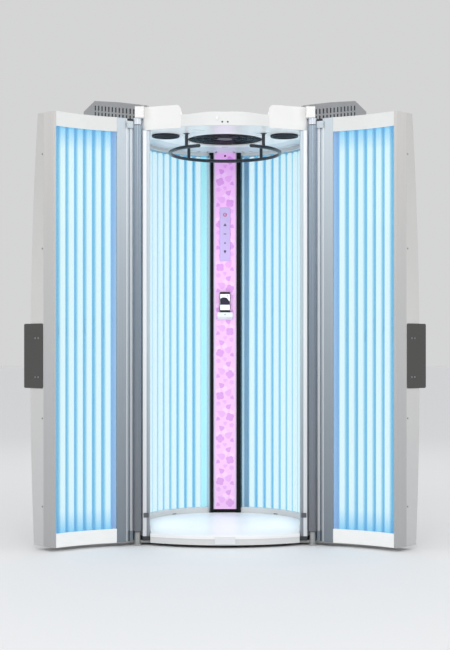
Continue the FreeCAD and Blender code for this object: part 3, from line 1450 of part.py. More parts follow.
def door_end_caps(side, name):
    """White covers across the top and the bottom of the door, hollow like the window between them."""
    start, end, wall = size("window_start"), size("window_end"), size("cap_wall")
    rear = [rim_line(start), rim_line(end)]
    ring = [(start, side * FACE, side * CAP_FACE), (start, side * rear[0]), (end, side * rear[1]),
            (end, side * FACE)]
    near, far, inner = start + wall, end - wall, CAP_FACE + wall
    hollow = [(near, side * window_line(inner, near), side * inner), (near, side * (rear[0] + wall)),
              (far, side * (rear[1] + wall)), (far, side * window_line(inner, far))]
    caps = new_body(f"door_end_caps_{name}")
    low, high = size("window_bottom"), size("window_top")
    add_prism(caps, [ring], size("door_bottom"), low, name="lower")
    cut_prism(caps, [hollow], size("door_bottom") + wall, low, name="lower_hollow")
    add_prism(caps, [ring], high, size("door_top"), name="upper")
    cut_prism(caps, [hollow], high, size("door_top") - wall, name="upper_hollow")
    place_door_part(caps, side)


def door_handle(side, name):
    """Flat pull plate on the slanted free edge, reaching out past the shell, with a turned lip."""
    low, high = size("handle_bottom"), size("handle_top")
    start, end = FACE / cosine(MITRE) + size("handle_start"), size("handle_end")
    corner, thick = size("handle_corner"), size("handle_thick")
    handle = new_body(f"door_handle_{name}")
    face = edge_sketch(handle, "plate", size("door_width"), side)
    draw_ring(face, [
        (side * (end - corner), low), (side * end, low + corner, side * corner),
        (side * end, high - corner), (side * (end - corner), high, side * corner),
        (side * (start + corner), high), (side * start, high - corner, side * corner),
        (side * start, low + corner), (side * (start + corner), low, side * corner),
    ])
    pad(handle, face, thick)
    lip = edge_sketch(handle, "lip", size("door_width"), side)
    ring = rectangle(end - thick, end, low + corner, high - corner)
    draw_ring(lip, [(side * x, z) for x, z in ring])
    pad(handle, lip, size("handle_lip"), reverse=True)
    place_door_part(handle, side)


def door_bushes(side, name):
    """Flanged bushes in both ends of the barrel and the black block on the door's upper corner."""
    pin = size("pin_radius") + size("running_play")
    outer = pin + size("bush_wall")
    low, high = size("barrel_bottom"), size("barrel_top")
    length, flange = size("pin_length"), size("bush_flange")
    bushes = new_body(f"door_bushes_{name}")
    wide = size("bush_flange_radius")
    add_prism(bushes, [], low, low + length, [(0, 0, outer), (0, 0, pin)], "lower_sleeve")
    add_prism(bushes, [], low - flange, low, [(0, 0, wide), (0, 0, pin)], "lower_flange")
    add_prism(bushes, [], high - length, high, [(0, 0, outer), (0, 0, pin)], "upper_sleeve")
    add_prism(bushes, [], high, high + flange, [(0, 0, wide), (0, 0, pin)], "upper_flange")
    stopper = rectangle(size("stopper_start"), size("stopper_end"), as_size(0), FACE)
    add_prism(bushes, [[(x, side * y) for x, y in stopper]], size("stopper_bottom"), size("stopper_top"),
              name="stopper")
    place_door_part(bushes, side)


def ballast_packs():
    """Lamp ballasts on the base plate behind the side casings."""
    x, width = size("ballast_x"), size("ballast_width")
    front, rear = size("ballast_y"), size("ballast_y") + size("ballast_length")
    rings = [rectangle(x, x + width, front, rear), rectangle(-x - width, -x, front, rear)]
    base = size("base_top")
    keep(prism("ballast_packs", rings, base, base + size("ballast_height")))


# ---------------------------------------------------------------------------------------------------------
# The whole booth
# ---------------------------------------------------------------------------------------------------------

base_plate()
levelling_feet()
floor_panel()
front_skirt()
door_catches()
casings()
lamp_walls()
column()
phone_dock()
phone()
ceiling_parts()
handrail()
ceiling_fan()
speakers()
roof_cover()
ballast_packs()
power_inlet()
for booth_side, side_name in SIDE_NAMES.items():
    front_post(booth_side, side_name)
    roof_hump(booth_side, side_name)
    roof_grille(booth_side, side_name)
    exhaust_fan(booth_side, side_name)
    hinge_brackets(booth_side, side_name)
    door_hinge_profile(booth_side, side_name)
    door_edge_profile(booth_side, side_name)
    door_shell(booth_side, side_name)
    door_window_parts(booth_side, side_name)
    door_end_caps(booth_side, side_name)
    door_handle(booth_side, side_name)
    door_bushes(booth_side, side_name)

doc.recompute()

for item in doc.Objects:
    if "Invalid" in item.State or "Error" in item.State:
        raise RuntimeError(f"{item.Label} is not valid: {item.State}")
for node in NODES:
    if node.Shape.isNull() or not node.Shape.isValid() or not node.Shape.Solids:
        raise RuntimeError(f"{node.Label} has no valid shape")

for node in NODES:
    node.Shape.exportStep(f"parts/{node.Label}.step")
    print(node.Label, len(node.Shape.Solids), round(node.Shape.Volume / 1000, 1))
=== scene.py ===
# %% [markdown]
# # A stand-up tanning booth, dressed for the camera
# The booth's solids come in as a fixed frame. Everything below gives them their finishes and adds the small
# things a solid model leaves out: lit lamps with metal caps, printed motifs, touch signs, speaker cloth and
# screws. The frame is loaded first, so that every later size can be read from it instead of being typed
# twice.

import bmesh
import bpy
import json
import math
import numpy as np
from mathutils import Matrix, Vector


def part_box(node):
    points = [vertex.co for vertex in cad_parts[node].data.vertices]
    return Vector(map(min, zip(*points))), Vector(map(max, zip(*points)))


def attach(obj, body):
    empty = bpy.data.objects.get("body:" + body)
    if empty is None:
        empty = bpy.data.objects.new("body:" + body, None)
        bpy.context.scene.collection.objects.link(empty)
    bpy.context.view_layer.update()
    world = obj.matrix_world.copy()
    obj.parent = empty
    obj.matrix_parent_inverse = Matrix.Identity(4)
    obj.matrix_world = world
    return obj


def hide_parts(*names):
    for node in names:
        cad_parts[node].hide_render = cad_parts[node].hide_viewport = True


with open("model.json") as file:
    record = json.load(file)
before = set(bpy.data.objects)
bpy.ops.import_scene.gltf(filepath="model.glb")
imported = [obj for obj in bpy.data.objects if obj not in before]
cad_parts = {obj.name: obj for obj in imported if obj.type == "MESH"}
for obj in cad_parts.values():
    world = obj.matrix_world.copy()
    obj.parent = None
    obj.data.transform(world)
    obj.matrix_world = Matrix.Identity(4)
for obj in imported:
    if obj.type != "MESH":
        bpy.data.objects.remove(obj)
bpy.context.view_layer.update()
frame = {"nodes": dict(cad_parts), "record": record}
NODES = frame["nodes"]

# %% [markdown]
# ## The camera
# A booth two metres tall is best seen from far enough away that its uprights stay upright. The camera stands
# level and looks straight along the booth's own axis, so a lens shift, not a tilt, brings the whole height
# into view.

# %% Set the camera
def added(name, data):
    """A new object that holds the data, linked into the scene."""
    item = bpy.data.objects.new(name, data)
    bpy.context.scene.collection.objects.link(item)
    return item


FRAME_TALL = 650
CAMERA_DISTANCE = 6.65
EYE_HEIGHT = 0.971
FOCAL_PIXELS = 1284
HORIZON_ROW = 347.5
SENSOR = 36.0

camera = bpy.data.cameras.new("camera")
camera.sensor_width = SENSOR
camera.lens = FOCAL_PIXELS / FRAME_TALL * SENSOR
camera.shift_y = (HORIZON_ROW - FRAME_TALL / 2) / FRAME_TALL
viewer = added("camera", camera)
viewer.location = (0, -CAMERA_DISTANCE, EYE_HEIGHT)
viewer.rotation_euler = (math.pi / 2, 0, 0)
bpy.context.scene.camera = viewer
print("lens", round(camera.lens, 2), "shift", round(camera.shift_y, 4))

# %% [markdown]
# ## Finishes
# Each finish is a node material on Object coordinates, so a pattern stays fixed to the piece. A moulded or
# painted surface is never quite even: a slow noise shifts its colour and its roughness a little, and a fine
# noise gives the orange-peel bump that catches soft light. One maker of such finishes serves all the plain
# pieces.

# %% Make a finish
FINISHES = {}
SLOW_SCALE, STREAK_SCALE = 7.0, 5.0
BUMP_STRENGTH = 0.6


def srgb(red, green, blue):
    """Screen colour from 0 to 255 as linear light: a dark value over 12.92, and else the value plus 0.055,
    over 1.055, to the power 2.4."""
    values = np.array([red, green, blue]) / 255
    linear = np.where(values <= 0.04045, values / 12.92, ((values + 0.055) / 1.055) ** 2.4)
    return (*[float(value) for value in linear], 1.0)


def node(tree, kind, inputs=None, **settings):
    """Adds one shader node, with its settings and the values of its named inputs."""
    made = tree.nodes.new(kind)
    for name, value in settings.items():
        setattr(made, name, value)
    for name, value in (inputs or {}).items():
        made.inputs[name].default_value = value
    return made


def empty_finish(name):
    """A new material, kept in FINISHES by its name, as its node tree and its Principled shader."""
    material = bpy.data.materials.new(name)
    material.use_nodes = True
    FINISHES[name] = material
    tree = material.node_tree
    return tree, tree.nodes["Principled BSDF"]


def noise(tree, scale, stretch=(1, 1, 1), detail=3.0):
    """Noise on Object coordinates, stretched along the axes, as the node that gives it."""
    place = node(tree, "ShaderNodeTexCoord")
    mapping = node(tree, "ShaderNodeMapping", {"Scale": stretch})
    field = node(tree, "ShaderNodeTexNoise", {"Scale": scale, "Detail": detail})
    tree.links.new(place.outputs["Object"], mapping.inputs["Vector"])
    tree.links.new(mapping.outputs["Vector"], field.inputs["Vector"])
    return field


def blend_colours(tree, factor, first, second, kind="MIX"):
    """Mix node between two colours, each plain or an output, led by a factor's output or a number."""
    mix = node(tree, "ShaderNodeMix", data_type="RGBA", blend_type=kind)
    for name, value in (("Factor", factor), ("A", first), ("B", second)):
        if isinstance(value, bpy.types.NodeSocket):
            tree.links.new(value, mix.inputs[name])
        else:
            mix.inputs[name].default_value = value
    return mix.outputs["Result"]


def spread(tree, source, low, high, start=0.3, end=0.7):
    """Map Range node that carries start to end of a value to low to high."""
    limits = {"From Min": start, "From Max": end, "To Min": low, "To Max": high}
    ranged = node(tree, "ShaderNodeMapRange", limits)
    tree.links.new(source, ranged.inputs["Value"])
    return ranged.outputs["Result"]


def grained(tree, shader, grain, depth, stretch):
    """Fine noise as the shader's bump."""
    fine = noise(tree, grain, stretch, detail=1.0)
    bump = node(tree, "ShaderNodeBump", {"Strength": BUMP_STRENGTH, "Distance": depth})
    tree.links.new(fine.outputs["Fac"], bump.inputs["Height"])
    tree.links.new(bump.outputs["Normal"], shader.inputs["Normal"])


def surfaced(tree, shader, colour, rough, metallic, coat, glow):
    """Links a colour and a roughness, sets the plain numbers, and lets the colour lead the glow if any."""
    tree.links.new(colour, shader.inputs["Base Color"])
    tree.links.new(rough, shader.inputs["Roughness"])
    shader.inputs["Metallic"].default_value = metallic
    shader.inputs["Coat Weight"].default_value = coat
    if glow:
        tree.links.new(colour, shader.inputs["Emission Color"])
        shader.inputs["Emission Strength"].default_value = glow


def make_finish(name, colour, roughness, metallic=0.0, shade=0.06, grain=900.0, depth=0.00003,
                stretch=(1, 1, 1), coat=0.0, glow=0.0):
    """Uneven colour from a slow noise, uneven roughness from the same noise, and a fine bump."""
    tree, shader = empty_finish(name)
    slow = noise(tree, SLOW_SCALE, stretch).outputs["Fac"]
    plain = srgb(*colour)[:3]
    worn = tuple(channel * (1 - shade) for channel in plain) + (1.0,)
    lifted = tuple(min(1.0, channel * (1 + shade / 2)) for channel in plain) + (1.0,)
    uneven = blend_colours(tree, spread(tree, slow, 0.0, 1.0), worn, lifted)
    rough = spread(tree, slow, roughness * 0.85, roughness * 1.15)
    grained(tree, shader, grain, depth, stretch)
    surfaced(tree, shader, uneven, rough, metallic, coat, glow)


make_finish("white_moulding", (245, 244, 242), 0.32, shade=0.02, coat=0.2)
make_finish("casing_panel", (218, 220, 222), 0.42, shade=0.03, grain=500.0)
make_finish("base_board", (60, 62, 64), 0.7, shade=0.15, grain=300.0)
make_finish("foot_rubber", (34, 34, 36), 0.75, shade=0.2)
make_finish("floor_white", (253, 252, 252), 0.42, shade=0.02, coat=0.06)
make_finish("column_black", (8, 10, 13), 0.4, shade=0.1)
make_finish("dock_silver", (240, 238, 236), 0.4, shade=0.04)
make_finish("ceiling_white", (247, 245, 243), 0.3, shade=0.03, coat=0.1)
make_finish("band_grey", (222, 223, 226), 0.4, shade=0.05)
make_finish("rail_dark", (40, 46, 53), 0.34, shade=0.1, coat=0.2)
make_finish("fan_black", (15, 13, 20), 0.4, shade=0.15)
make_finish("fan_hub", (98, 97, 94), 0.6)
make_finish("speaker_dark", (30, 38, 46), 0.6, shade=0.1)
make_finish("grille_grey", (164, 166, 169), 0.45, metallic=0.25, shade=0.08)
make_finish("bracket_grey", (172, 174, 176), 0.38, metallic=0.4, shade=0.08)
make_finish("bush_black", (24, 27, 36), 0.45, shade=0.12)
make_finish("handle_grey", (72, 72, 70), 0.5, metallic=0.1, shade=0.08, grain=1200.0)
make_finish("ballast_steel", (120, 124, 126), 0.5, metallic=0.5)
make_finish("gland_black", (20, 20, 22), 0.5, shade=0.15)
make_finish("phone_black", (16, 16, 20), 0.12, shade=0.1, coat=0.5)
make_finish("keys_lavender", (206, 182, 230), 0.3, shade=0.03, coat=0.1, glow=0.04)
FINISHES["column_black"].node_tree.nodes["Principled BSDF"].inputs["Specular IOR Level"].default_value = 0.2
print("plain finishes", len(FINISHES))

# %% [markdown]
# ## Finishes that change up the booth
# The aluminium posts and profiles are drawn through a die, which leaves fine lines along their length, and
# they show the bright ceiling near their tops and the shaded ground near their feet. Satin metal is too rough
# to mirror such things clearly, so a ramp up the height paints that reflection and that shade into their
# colour, and noise squeezed hard across gives the drawn lines.

# %% Upright finishes
UPRIGHT_GRAIN = (60, 60, 0.25)
BOOTH_TOP = 2.1


# On the metals, the door shells, the door caps and the reflector sheets this ramp is painted reflection and
# shade.
def upright_finish(name, foot, waist, head, roughness, metallic=0.0, shade=0.08, grain=14.0, depth=0.0001,
                   stretch=UPRIGHT_GRAIN, coat=0.0, glow=0.0):
    """Colour ramp from foot to head along Object z, darkened in streaks, with a bump along the streaks."""
    tree, shader = empty_finish(name)
    place = node(tree, "ShaderNodeTexCoord")
    split = node(tree, "ShaderNodeSeparateXYZ")
    tree.links.new(place.outputs["Object"], split.inputs["Vector"])
    ramp = node(tree, "ShaderNodeValToRGB")
    stops = ramp.color_ramp.elements
    stops[0].color = srgb(*foot)
    stops[1].color = srgb(*head)
    stops.new(0.5).color = srgb(*waist)
    tree.links.new(spread(tree, split.outputs["Z"], 0.0, 1.0, 0.0, BOOTH_TOP), ramp.inputs["Fac"])
    streaks = noise(tree, STREAK_SCALE, stretch).outputs["Fac"]
    dark = (1 - shade, 1 - shade, 1 - shade, 1.0)
    mask = blend_colours(tree, spread(tree, streaks, 0.0, 1.0), dark, (1, 1, 1, 1))
    uneven = blend_colours(tree, 1.0, ramp.outputs["Color"], mask, "MULTIPLY")
    rough = spread(tree, streaks, roughness * 0.85, roughness * 1.2)
    grained(tree, shader, grain, depth, stretch)
    surfaced(tree, shader, uneven, rough, metallic, coat, glow)


EVEN_GRAIN = (1, 1, 1)
upright_finish(
    "satin_aluminium", (130, 138, 146), (172, 182, 190), (202, 212, 219), 0.34, metallic=0.35)
# Door shells: painted shade, darker at the head and at the foot than at the waist.
upright_finish(
    "shell_white", (195, 196, 197), (211, 210, 208), (199, 198, 196), 0.38, shade=0.02, grain=700.0,
    depth=0.00003, stretch=EVEN_GRAIN)
# Reflector sheets: their colour and their glow are a painted reflection of the lamps.
upright_finish(
    "reflector_sheet", (120, 198, 232), (130, 200, 232), (118, 204, 236), 0.35, metallic=0.1,
    grain=10.0, glow=0.30)
make_finish(
    "catch_steel", (240, 241, 242), 0.34, metallic=0.15, shade=0.05, grain=14.0, depth=0.0001,
    stretch=(0.25, 60, 60))
# Door caps: painted light and shade, the foot cap brighter than the head cap.
upright_finish(
    "cap_white", (255, 254, 252), (244, 244, 242), (232, 233, 231), 0.34, shade=0.02, grain=900.0,
    depth=0.00003, stretch=EVEN_GRAIN, coat=0.1)
# Edge profile, barrel sleeve, post and bracket ramps: painted reflection of the ceiling near the head and
# painted shade near the foot; the barrel sleeve is darker than the flat faces as painted shade.
upright_finish(
    "edge_satin", (176, 177, 178), (196, 196, 196), (212, 209, 206), 0.36, metallic=0.15, shade=0.05)
upright_finish(
    "barrel_satin", (120, 121, 126), (140, 152, 164), (164, 178, 192), 0.3, metallic=0.45)
# Bead, rib and post cover: near-white painted highlights, lighter towards the head as painted reflection.
upright_finish(
    "bead_bright", (196, 198, 202), (224, 230, 234), (244, 248, 252), 0.25, metallic=0.1, shade=0.04)
upright_finish(
    "post_bright", (222, 224, 228), (246, 249, 252), (250, 252, 254), 0.28, metallic=0.05, shade=0.03)
upright_finish(
    "post_satin", (142, 146, 154), (196, 212, 218), (210, 220, 228), 0.34, metallic=0.2, shade=0.05)
upright_finish(
    "bracket_satin", (168, 169, 168), (200, 204, 208), (226, 232, 240), 0.36, metallic=0.25, shade=0.05)
# Wall trim: painted shade, a darker copy of the white moulding.
make_finish("trim_shade", (216, 214, 212), 0.38, shade=0.03, coat=0.1)
# Lit edge: the lamps' light on this sheet is painted into its colour and its glow.
upright_finish(
    "lit_edge", (150, 176, 214), (160, 188, 222), (150, 182, 220), 0.4, grain=10.0, glow=0.3)
# Wings: a painted reflection of the lamps, bright with a strong glow on the left and dim on the right; the
# hem's paleness and glow are painted light too.
upright_finish(
    "wing_left", (178, 242, 246), (178, 242, 246), (172, 240, 246), 0.3, grain=10.0, glow=0.66)
upright_finish(
    "wing_right", (120, 174, 212), (122, 176, 214), (114, 172, 212), 0.3, grain=10.0, glow=0.14)
upright_finish(
    "wing_hem", (184, 214, 226), (188, 218, 230), (186, 218, 230), 0.35, grain=10.0, glow=0.55)
# Roof cover and skirt: painted shade, darker copies of the white moulding.
make_finish("roof_shade", (234, 234, 233), 0.34, shade=0.02, coat=0.2)
make_finish("skirt_shade", (226, 226, 225), 0.36, shade=0.03, coat=0.1)
print("finishes added, now", len(FINISHES))

# %% [markdown]
# ## Clear sheets
# The clear walls hardly tint what is behind them, and show themselves by their gloss. A see-through alpha
# with a low roughness keeps the picture clean, where a refracting glass would need many more samples for thin
# sheets.

# %% Clear acrylic
SHEET_COVER, ACRYLIC_INDEX = 0.1, 1.49


def clear_finish(name, tint, cover):
    """A thin glossy sheet that lets most of the light straight through."""
    tree, shader = empty_finish(name)
    smudges = noise(tree, STREAK_SCALE)
    tree.links.new(spread(tree, smudges.outputs["Fac"], 0.03, 0.09), shader.inputs["Roughness"])
    shader.inputs["Base Color"].default_value = srgb(*tint)
    shader.inputs["Alpha"].default_value = cover
    shader.inputs["IOR"].default_value = ACRYLIC_INDEX


clear_finish("clear_acrylic", (214, 240, 250), SHEET_COVER)
print("clear sheet alpha", SHEET_COVER)

# %% [markdown]
# ## The lit panel's sheet
# The panel on the column is a printed sheet with a pale light behind it. Its pink is deeper near the ceiling,
# and the light behind it makes it glow a little. The same ramp colours the sheet and its glow.

# %% Pink sheet
upright_finish(
    "decor_pink", (243, 192, 234), (243, 192, 234), (255, 188, 252), 0.28, shade=0.05, grain=120.0,
    depth=0.00004, stretch=EVEN_GRAIN, coat=0.1, glow=0.10)
print("finishes now", len(FINISHES))

# %% [markdown]
# ## Giving the solids their finishes
# Each solid already names its material slot in the record, so one loop dresses them all. A solid whose edges
# are sharp reads as a drawing, because real mouldings and bent sheets have a small radius. So the solids that
# show are copied, merged, rounded by a bevel and smoothed, and the copies stand for them.

# %% Dress every solid
SLOT_OF = {row["node"]: row["material_slot"] for row in frame["record"]["subparts"]}
BODY_OF = {name: body for body, names in frame["record"]["behaviour"]["bodies"].items() for name in names}
# Own finishes: the satin ramps and the door caps carry painted reflection and shade, and the roof, skirt and
# trim finishes are darker copies of the white moulding as painted shade.
OWN_FINISH = {
    "door_edge_profile": "edge_satin", "door_end_caps": "cap_white", "roof_cover": "roof_shade",
    "front_skirt": "skirt_shade", "wall_trim": "trim_shade", "front_post": "post_satin",
    "hinge_brackets": "bracket_satin",
}


def stem_of(name):
    """A solid's name without its side."""
    return name.removesuffix("_left").removesuffix("_right")


def finish_of(name):
    """A solid's own finish, or else the one of its slot."""
    return OWN_FINISH.get(stem_of(name), SLOT_OF[name])


def wear(mesh, finish):
    """Gives a mesh the one finish of that name."""
    mesh.materials.clear()
    mesh.materials.append(FINISHES[finish])


# The lamps' solids wait in black: lit tubes stand for them, and bring their own finish.
for name, solid in NODES.items():
    wear(solid.data, finish_of(name) if finish_of(name) in FINISHES else "fan_black")
print("dressed", len(NODES))

# %% Round the edges of the solids that show
SMOOTH_ANGLE, FLAT_ANGLE = np.radians([28, 0.5])
WELD = 1e-6
BEVEL_STEPS = 2


def softened(name, radius):
    """A copy of a solid, merged, its flat faces dissolved, its sharp edges rounded by a bevel."""
    mesh = NODES[name].data.copy()
    shape = bmesh.new()
    shape.from_mesh(mesh)
    bmesh.ops.remove_doubles(shape, verts=shape.verts, dist=WELD)
    bmesh.ops.dissolve_limit(shape, angle_limit=FLAT_ANGLE, verts=shape.verts, edges=shape.edges)
    shape.to_mesh(mesh)
    shape.free()
    if mesh.has_custom_normals:
        mesh.attributes.remove(mesh.attributes["custom_normal"])
    mesh.shade_smooth()
    mesh.set_sharp_from_angle(angle=SMOOTH_ANGLE)
    piece = added(f"soft_{name}", mesh)
    if radius:
        bevel = piece.modifiers.new("rounding", "BEVEL")
        bevel.width = radius
        bevel.segments = BEVEL_STEPS
        bevel.limit_method = "ANGLE"
        bevel.angle_limit = SMOOTH_ANGLE
        bevel.harden_normals = True
    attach(piece, BODY_OF[name])
    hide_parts(name)
    wear(mesh, finish_of(name))


EDGE_RADII = {
    "roof_cover": 0.0015, "front_skirt": 0.001, "floor_panel": 0.0008, "column_housing": 0.001,
    "phone_dock": 0.002, "phone": 0.001, "rear_casing": 0.001, "door_catches": 0.0004,
    "control_panel": 0.0008, "roof_hump": 0.002, "side_casing": 0.001, "corner_casing": 0.001,
    "front_post": 0.0008, "roof_grille": 0.0008, "door_shell": 0.0015, "door_end_caps": 0.001,
    "door_hinge_profile": 0.0012, "door_edge_profile": 0.0008, "door_handle": 0.001,
    "hinge_brackets": 0.0008, "door_bushes": 0.0006, "wall_trim": 0.0008, "fan_rotor": 0.0,
    "fan_motor": 0.0008, "fan_guard": 0.0, "exhaust_fan": 0.0, "base_plate": 0.0006,
    "power_inlet": 0.0005,
}
for stem, radius in EDGE_RADII.items():
    for name in NODES:
        if stem_of(name) == stem:
            softened(name, radius)

# %% [markdown]
# ## Surfaces from numpy
# The new pieces are surfaces worked out as whole arrays. A few shapes cover them all: a profile turned about
# an axis, a plate with any outline, a bent bar, and a tube along an arc. Copies come from one shape and many
# places.

# %% Turned shapes and plates
def grid_quads(rows, columns, closed):
    """Quads between neighbours of a rows by columns grid, joined round its columns where it is closed."""
    across = np.arange(columns if closed else columns - 1)
    upward = np.arange(rows - 1)
    low = upward[:, None] * columns + across
    beside = upward[:, None] * columns + (across + 1) % columns
    return np.stack([low, beside, beside + columns, low + columns], axis=-1).reshape(-1, 4)


def turned(profile, sides):
    """Turns (radius, height) pairs about Z: x and y are the radius times cosine and sine of the angle."""
    profile = np.asarray(profile, float)
    angle = np.arange(sides) * 2 * np.pi / sides
    x = profile[:, :1] * np.cos(angle)
    y = profile[:, :1] * np.sin(angle)
    z = np.broadcast_to(profile[:, 1:], x.shape)
    return np.stack([x, y, z], axis=-1).reshape(-1, 3), grid_quads(len(profile), sides, True)


def slab(outline, depth):
    """A plate with a closed outline: fans of triangles from the middle in front and behind, and a rim."""
    outline = np.asarray(outline, float)
    count = len(outline)
    ring = np.arange(count)
    after = (ring + 1) % count
    front = np.column_stack([outline, np.full(count, depth)])
    back = np.column_stack([outline, np.zeros(count)])
    middle = np.append(outline.mean(axis=0), depth)
    points = np.concatenate([front, back, [middle, middle * (1, 1, 0)]])
    faces = np.concatenate([
        np.stack([ring, after, np.full(count, 2 * count)], axis=1),
        np.stack([after + count, ring + count, np.full(count, 2 * count + 1)], axis=1),
        np.stack([ring, ring + count, after + count], axis=1),
        np.stack([ring, after + count, after], axis=1)])
    return points, faces


def rounded_outline(half_wide, half_tall, corner, steps=5):
    """Rectangle with round corners: a corner's centre, plus its radius times the cosine and sine of angles
    in its own quarter."""
    quarter = np.repeat(np.arange(4), steps)
    angle = quarter * np.pi / 2 + np.tile(np.linspace(0, np.pi / 2, steps), 4)
    side_x, side_y = np.array([1, -1, -1, 1])[quarter], np.array([1, 1, -1, -1])[quarter]
    x = side_x * (half_wide - corner) + corner * np.cos(angle)
    y = side_y * (half_tall - corner) + corner * np.sin(angle)
    return np.stack([x, y], axis=1)


def round_outline(radius, points=24):
    """Circle: the radius times cosine and sine of even angles."""
    angle = np.arange(points) * 2 * np.pi / points
    return radius * np.stack([np.cos(angle), np.sin(angle)], axis=1)


print("a round plate has", len(slab(round_outline(1.0), 0.1)[1]), "triangles")


# %% Bent bars and tubes
def bent_bar(inner, outer, start, end, depth, steps=24):
    """Bar bent round the origin: a rectangle from inner to outer radius and up to depth, at even angles."""
    angle = np.linspace(start, end, steps)
    radius = np.array([inner, outer, outer, inner])
    height = np.array([0, 0, depth, depth])
    x = radius * np.cos(angle)[:, None]
    y = radius * np.sin(angle)[:, None]
    z = np.broadcast_to(height, x.shape)
    last = 4 * (steps - 1)
    ends = np.array([[0, 3, 2, 1], [last, last + 1, last + 2, last + 3]])
    return np.stack([x, y, z], axis=-1).reshape(-1, 3), np.concatenate([grid_quads(steps, 4, True), ends])


def arc_tube(radius, thick, start, end, height, steps=96, sides=16, closed=False):
    """Round tube along a level arc. Its ends narrow like a sphere: the offset past the end is the thickness
    times the sine, and the tube's own radius is the thickness times the cosine, of the same angle."""
    dome = np.linspace(np.pi / 2, 0, 6)
    middle = np.linspace(start, end, steps)
    if closed:
        angle, girth = middle, np.full(steps, thick)
    else:
        past = thick * np.sin(dome) / radius
        angle = np.concatenate([start - past[:-1], middle, end + past[:-1][::-1]])
        girth = thick * np.concatenate([np.cos(dome[:-1]), np.ones(steps), np.cos(dome[:-1])[::-1]])
    turn = np.arange(sides) * 2 * np.pi / sides
    reach = radius + girth[:, None] * np.cos(turn)
    x = reach * np.cos(angle)[:, None]
    y = reach * np.sin(angle)[:, None]
    z = height + girth[:, None] * np.sin(turn)
    return np.stack([x, y, z], axis=-1).reshape(-1, 3), grid_quads(len(angle), sides, True)


print("a tube has", len(arc_tube(1.0, 0.1, 0, 1, 0)[1]), "quads")


# %% Places, copies and pieces
def placement(origin, out, up=(0, 0, 1), spin=0.0):
    """Matrix at an origin whose columns are the side (up cross out), the way above (out cross side) and out,
    the first two turned by a spin."""
    out = np.asarray(out, float) / np.linalg.norm(out)
    side = np.cross(up, out)
    side = side / np.linalg.norm(side)
    above = np.cross(out, side)
    matrix = np.eye(4)
    matrix[:3, 0] = side * math.cos(spin) + above * math.sin(spin)
    matrix[:3, 1] = above * math.cos(spin) - side * math.sin(spin)
    matrix[:3, 2] = out
    matrix[:3, 3] = origin
    return matrix


def copies(points, faces, matrices):
    """Every placement times every point, with the faces numbered on for each copy."""
    matrices = np.asarray(matrices, float)
    moved = np.einsum("nij,pj->npi", matrices[:, :3, :3], points) + matrices[:, None, :3, 3]
    steps = np.arange(len(matrices))[:, None, None] * len(points)
    return moved.reshape(-1, 3), (faces[None] + steps).reshape(-1, faces.shape[1])


def plates(outline, thick, places):
    """Thin plates of one outline, one at each placement."""
    return copies(*slab(outline, thick), places)


def standing(places):
    """Upright placements: an identity whose last column is the plan place, or the place with a height."""
    places = np.asarray(places, float)
    matrices = np.tile(np.eye(4), (len(places), 1, 1))
    matrices[:, :places.shape[1], 3] = places
    return matrices


def joined(shapes):
    """Several shapes as one: their points in a row, and each one's faces numbered on from those before it."""
    starts = np.cumsum([0] + [len(points) for points, faces in shapes[:-1]])
    faces = [face for start, (points, quads) in zip(starts, shapes) for face in (quads + start).tolist()]
    return np.concatenate([points for points, quads in shapes]), faces


def make_piece(name, points, faces, body, slot_name, finish=None, attributes=None, merge=True):
    """A mesh object from arrays, closed at its poles, riding on a body, in its own finish or its slot's."""
    mesh = bpy.data.meshes.new(name)
    mesh.from_pydata(points.tolist(), [], faces if isinstance(faces, list) else faces.tolist())
    for key, values in (attributes or {}).items():
        layer = mesh.attributes.new(key, "FLOAT", "POINT")
        layer.data.foreach_set("value", np.asarray(values, np.float32))
    if merge:
        shape = bmesh.new()
        shape.from_mesh(mesh)
        bmesh.ops.remove_doubles(shape, verts=shape.verts, dist=WELD)
        bmesh.ops.dissolve_degenerate(shape, edges=shape.edges, dist=WELD / 10)
        bmesh.ops.recalc_face_normals(shape, faces=shape.faces)
        shape.to_mesh(mesh)
        shape.free()
    mesh.shade_smooth()
    mesh.set_sharp_from_angle(angle=SMOOTH_ANGLE)
    piece = added(name, mesh)
    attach(piece, body)
    wear(mesh, finish or slot_name)
    return piece


def facing_front(x, y, z, spin=0.0):
    """Placement of a plate that looks at whoever stands before the booth."""
    return placement((x, y, z), (0, -1, 0), spin=spin)


print("placement looks along", facing_front(0, 0, 0)[:3, 2])

# %% [markdown]
# ## Tanning lamps
# Each lamp is a long tube with a metal cap and a crimped neck at both ends. A tanning lamp has a reflecting
# coat on the back of the glass, so its front is the brightest and its flanks are a deeper blue, and the light
# falls off towards the cathodes at its ends. Both are worked out for each point and kept as attributes for
# the material.

# %% The lit glass
LAMP_STRENGTH = 0.95
LAMP_RADIUS, NECK_STEP = 0.019, 0.0025
LAMP_SIDES = 24
STAMP_LOW, STAMP_HIGH, STAMP_EDGE = 1.00, 1.11, 0.002


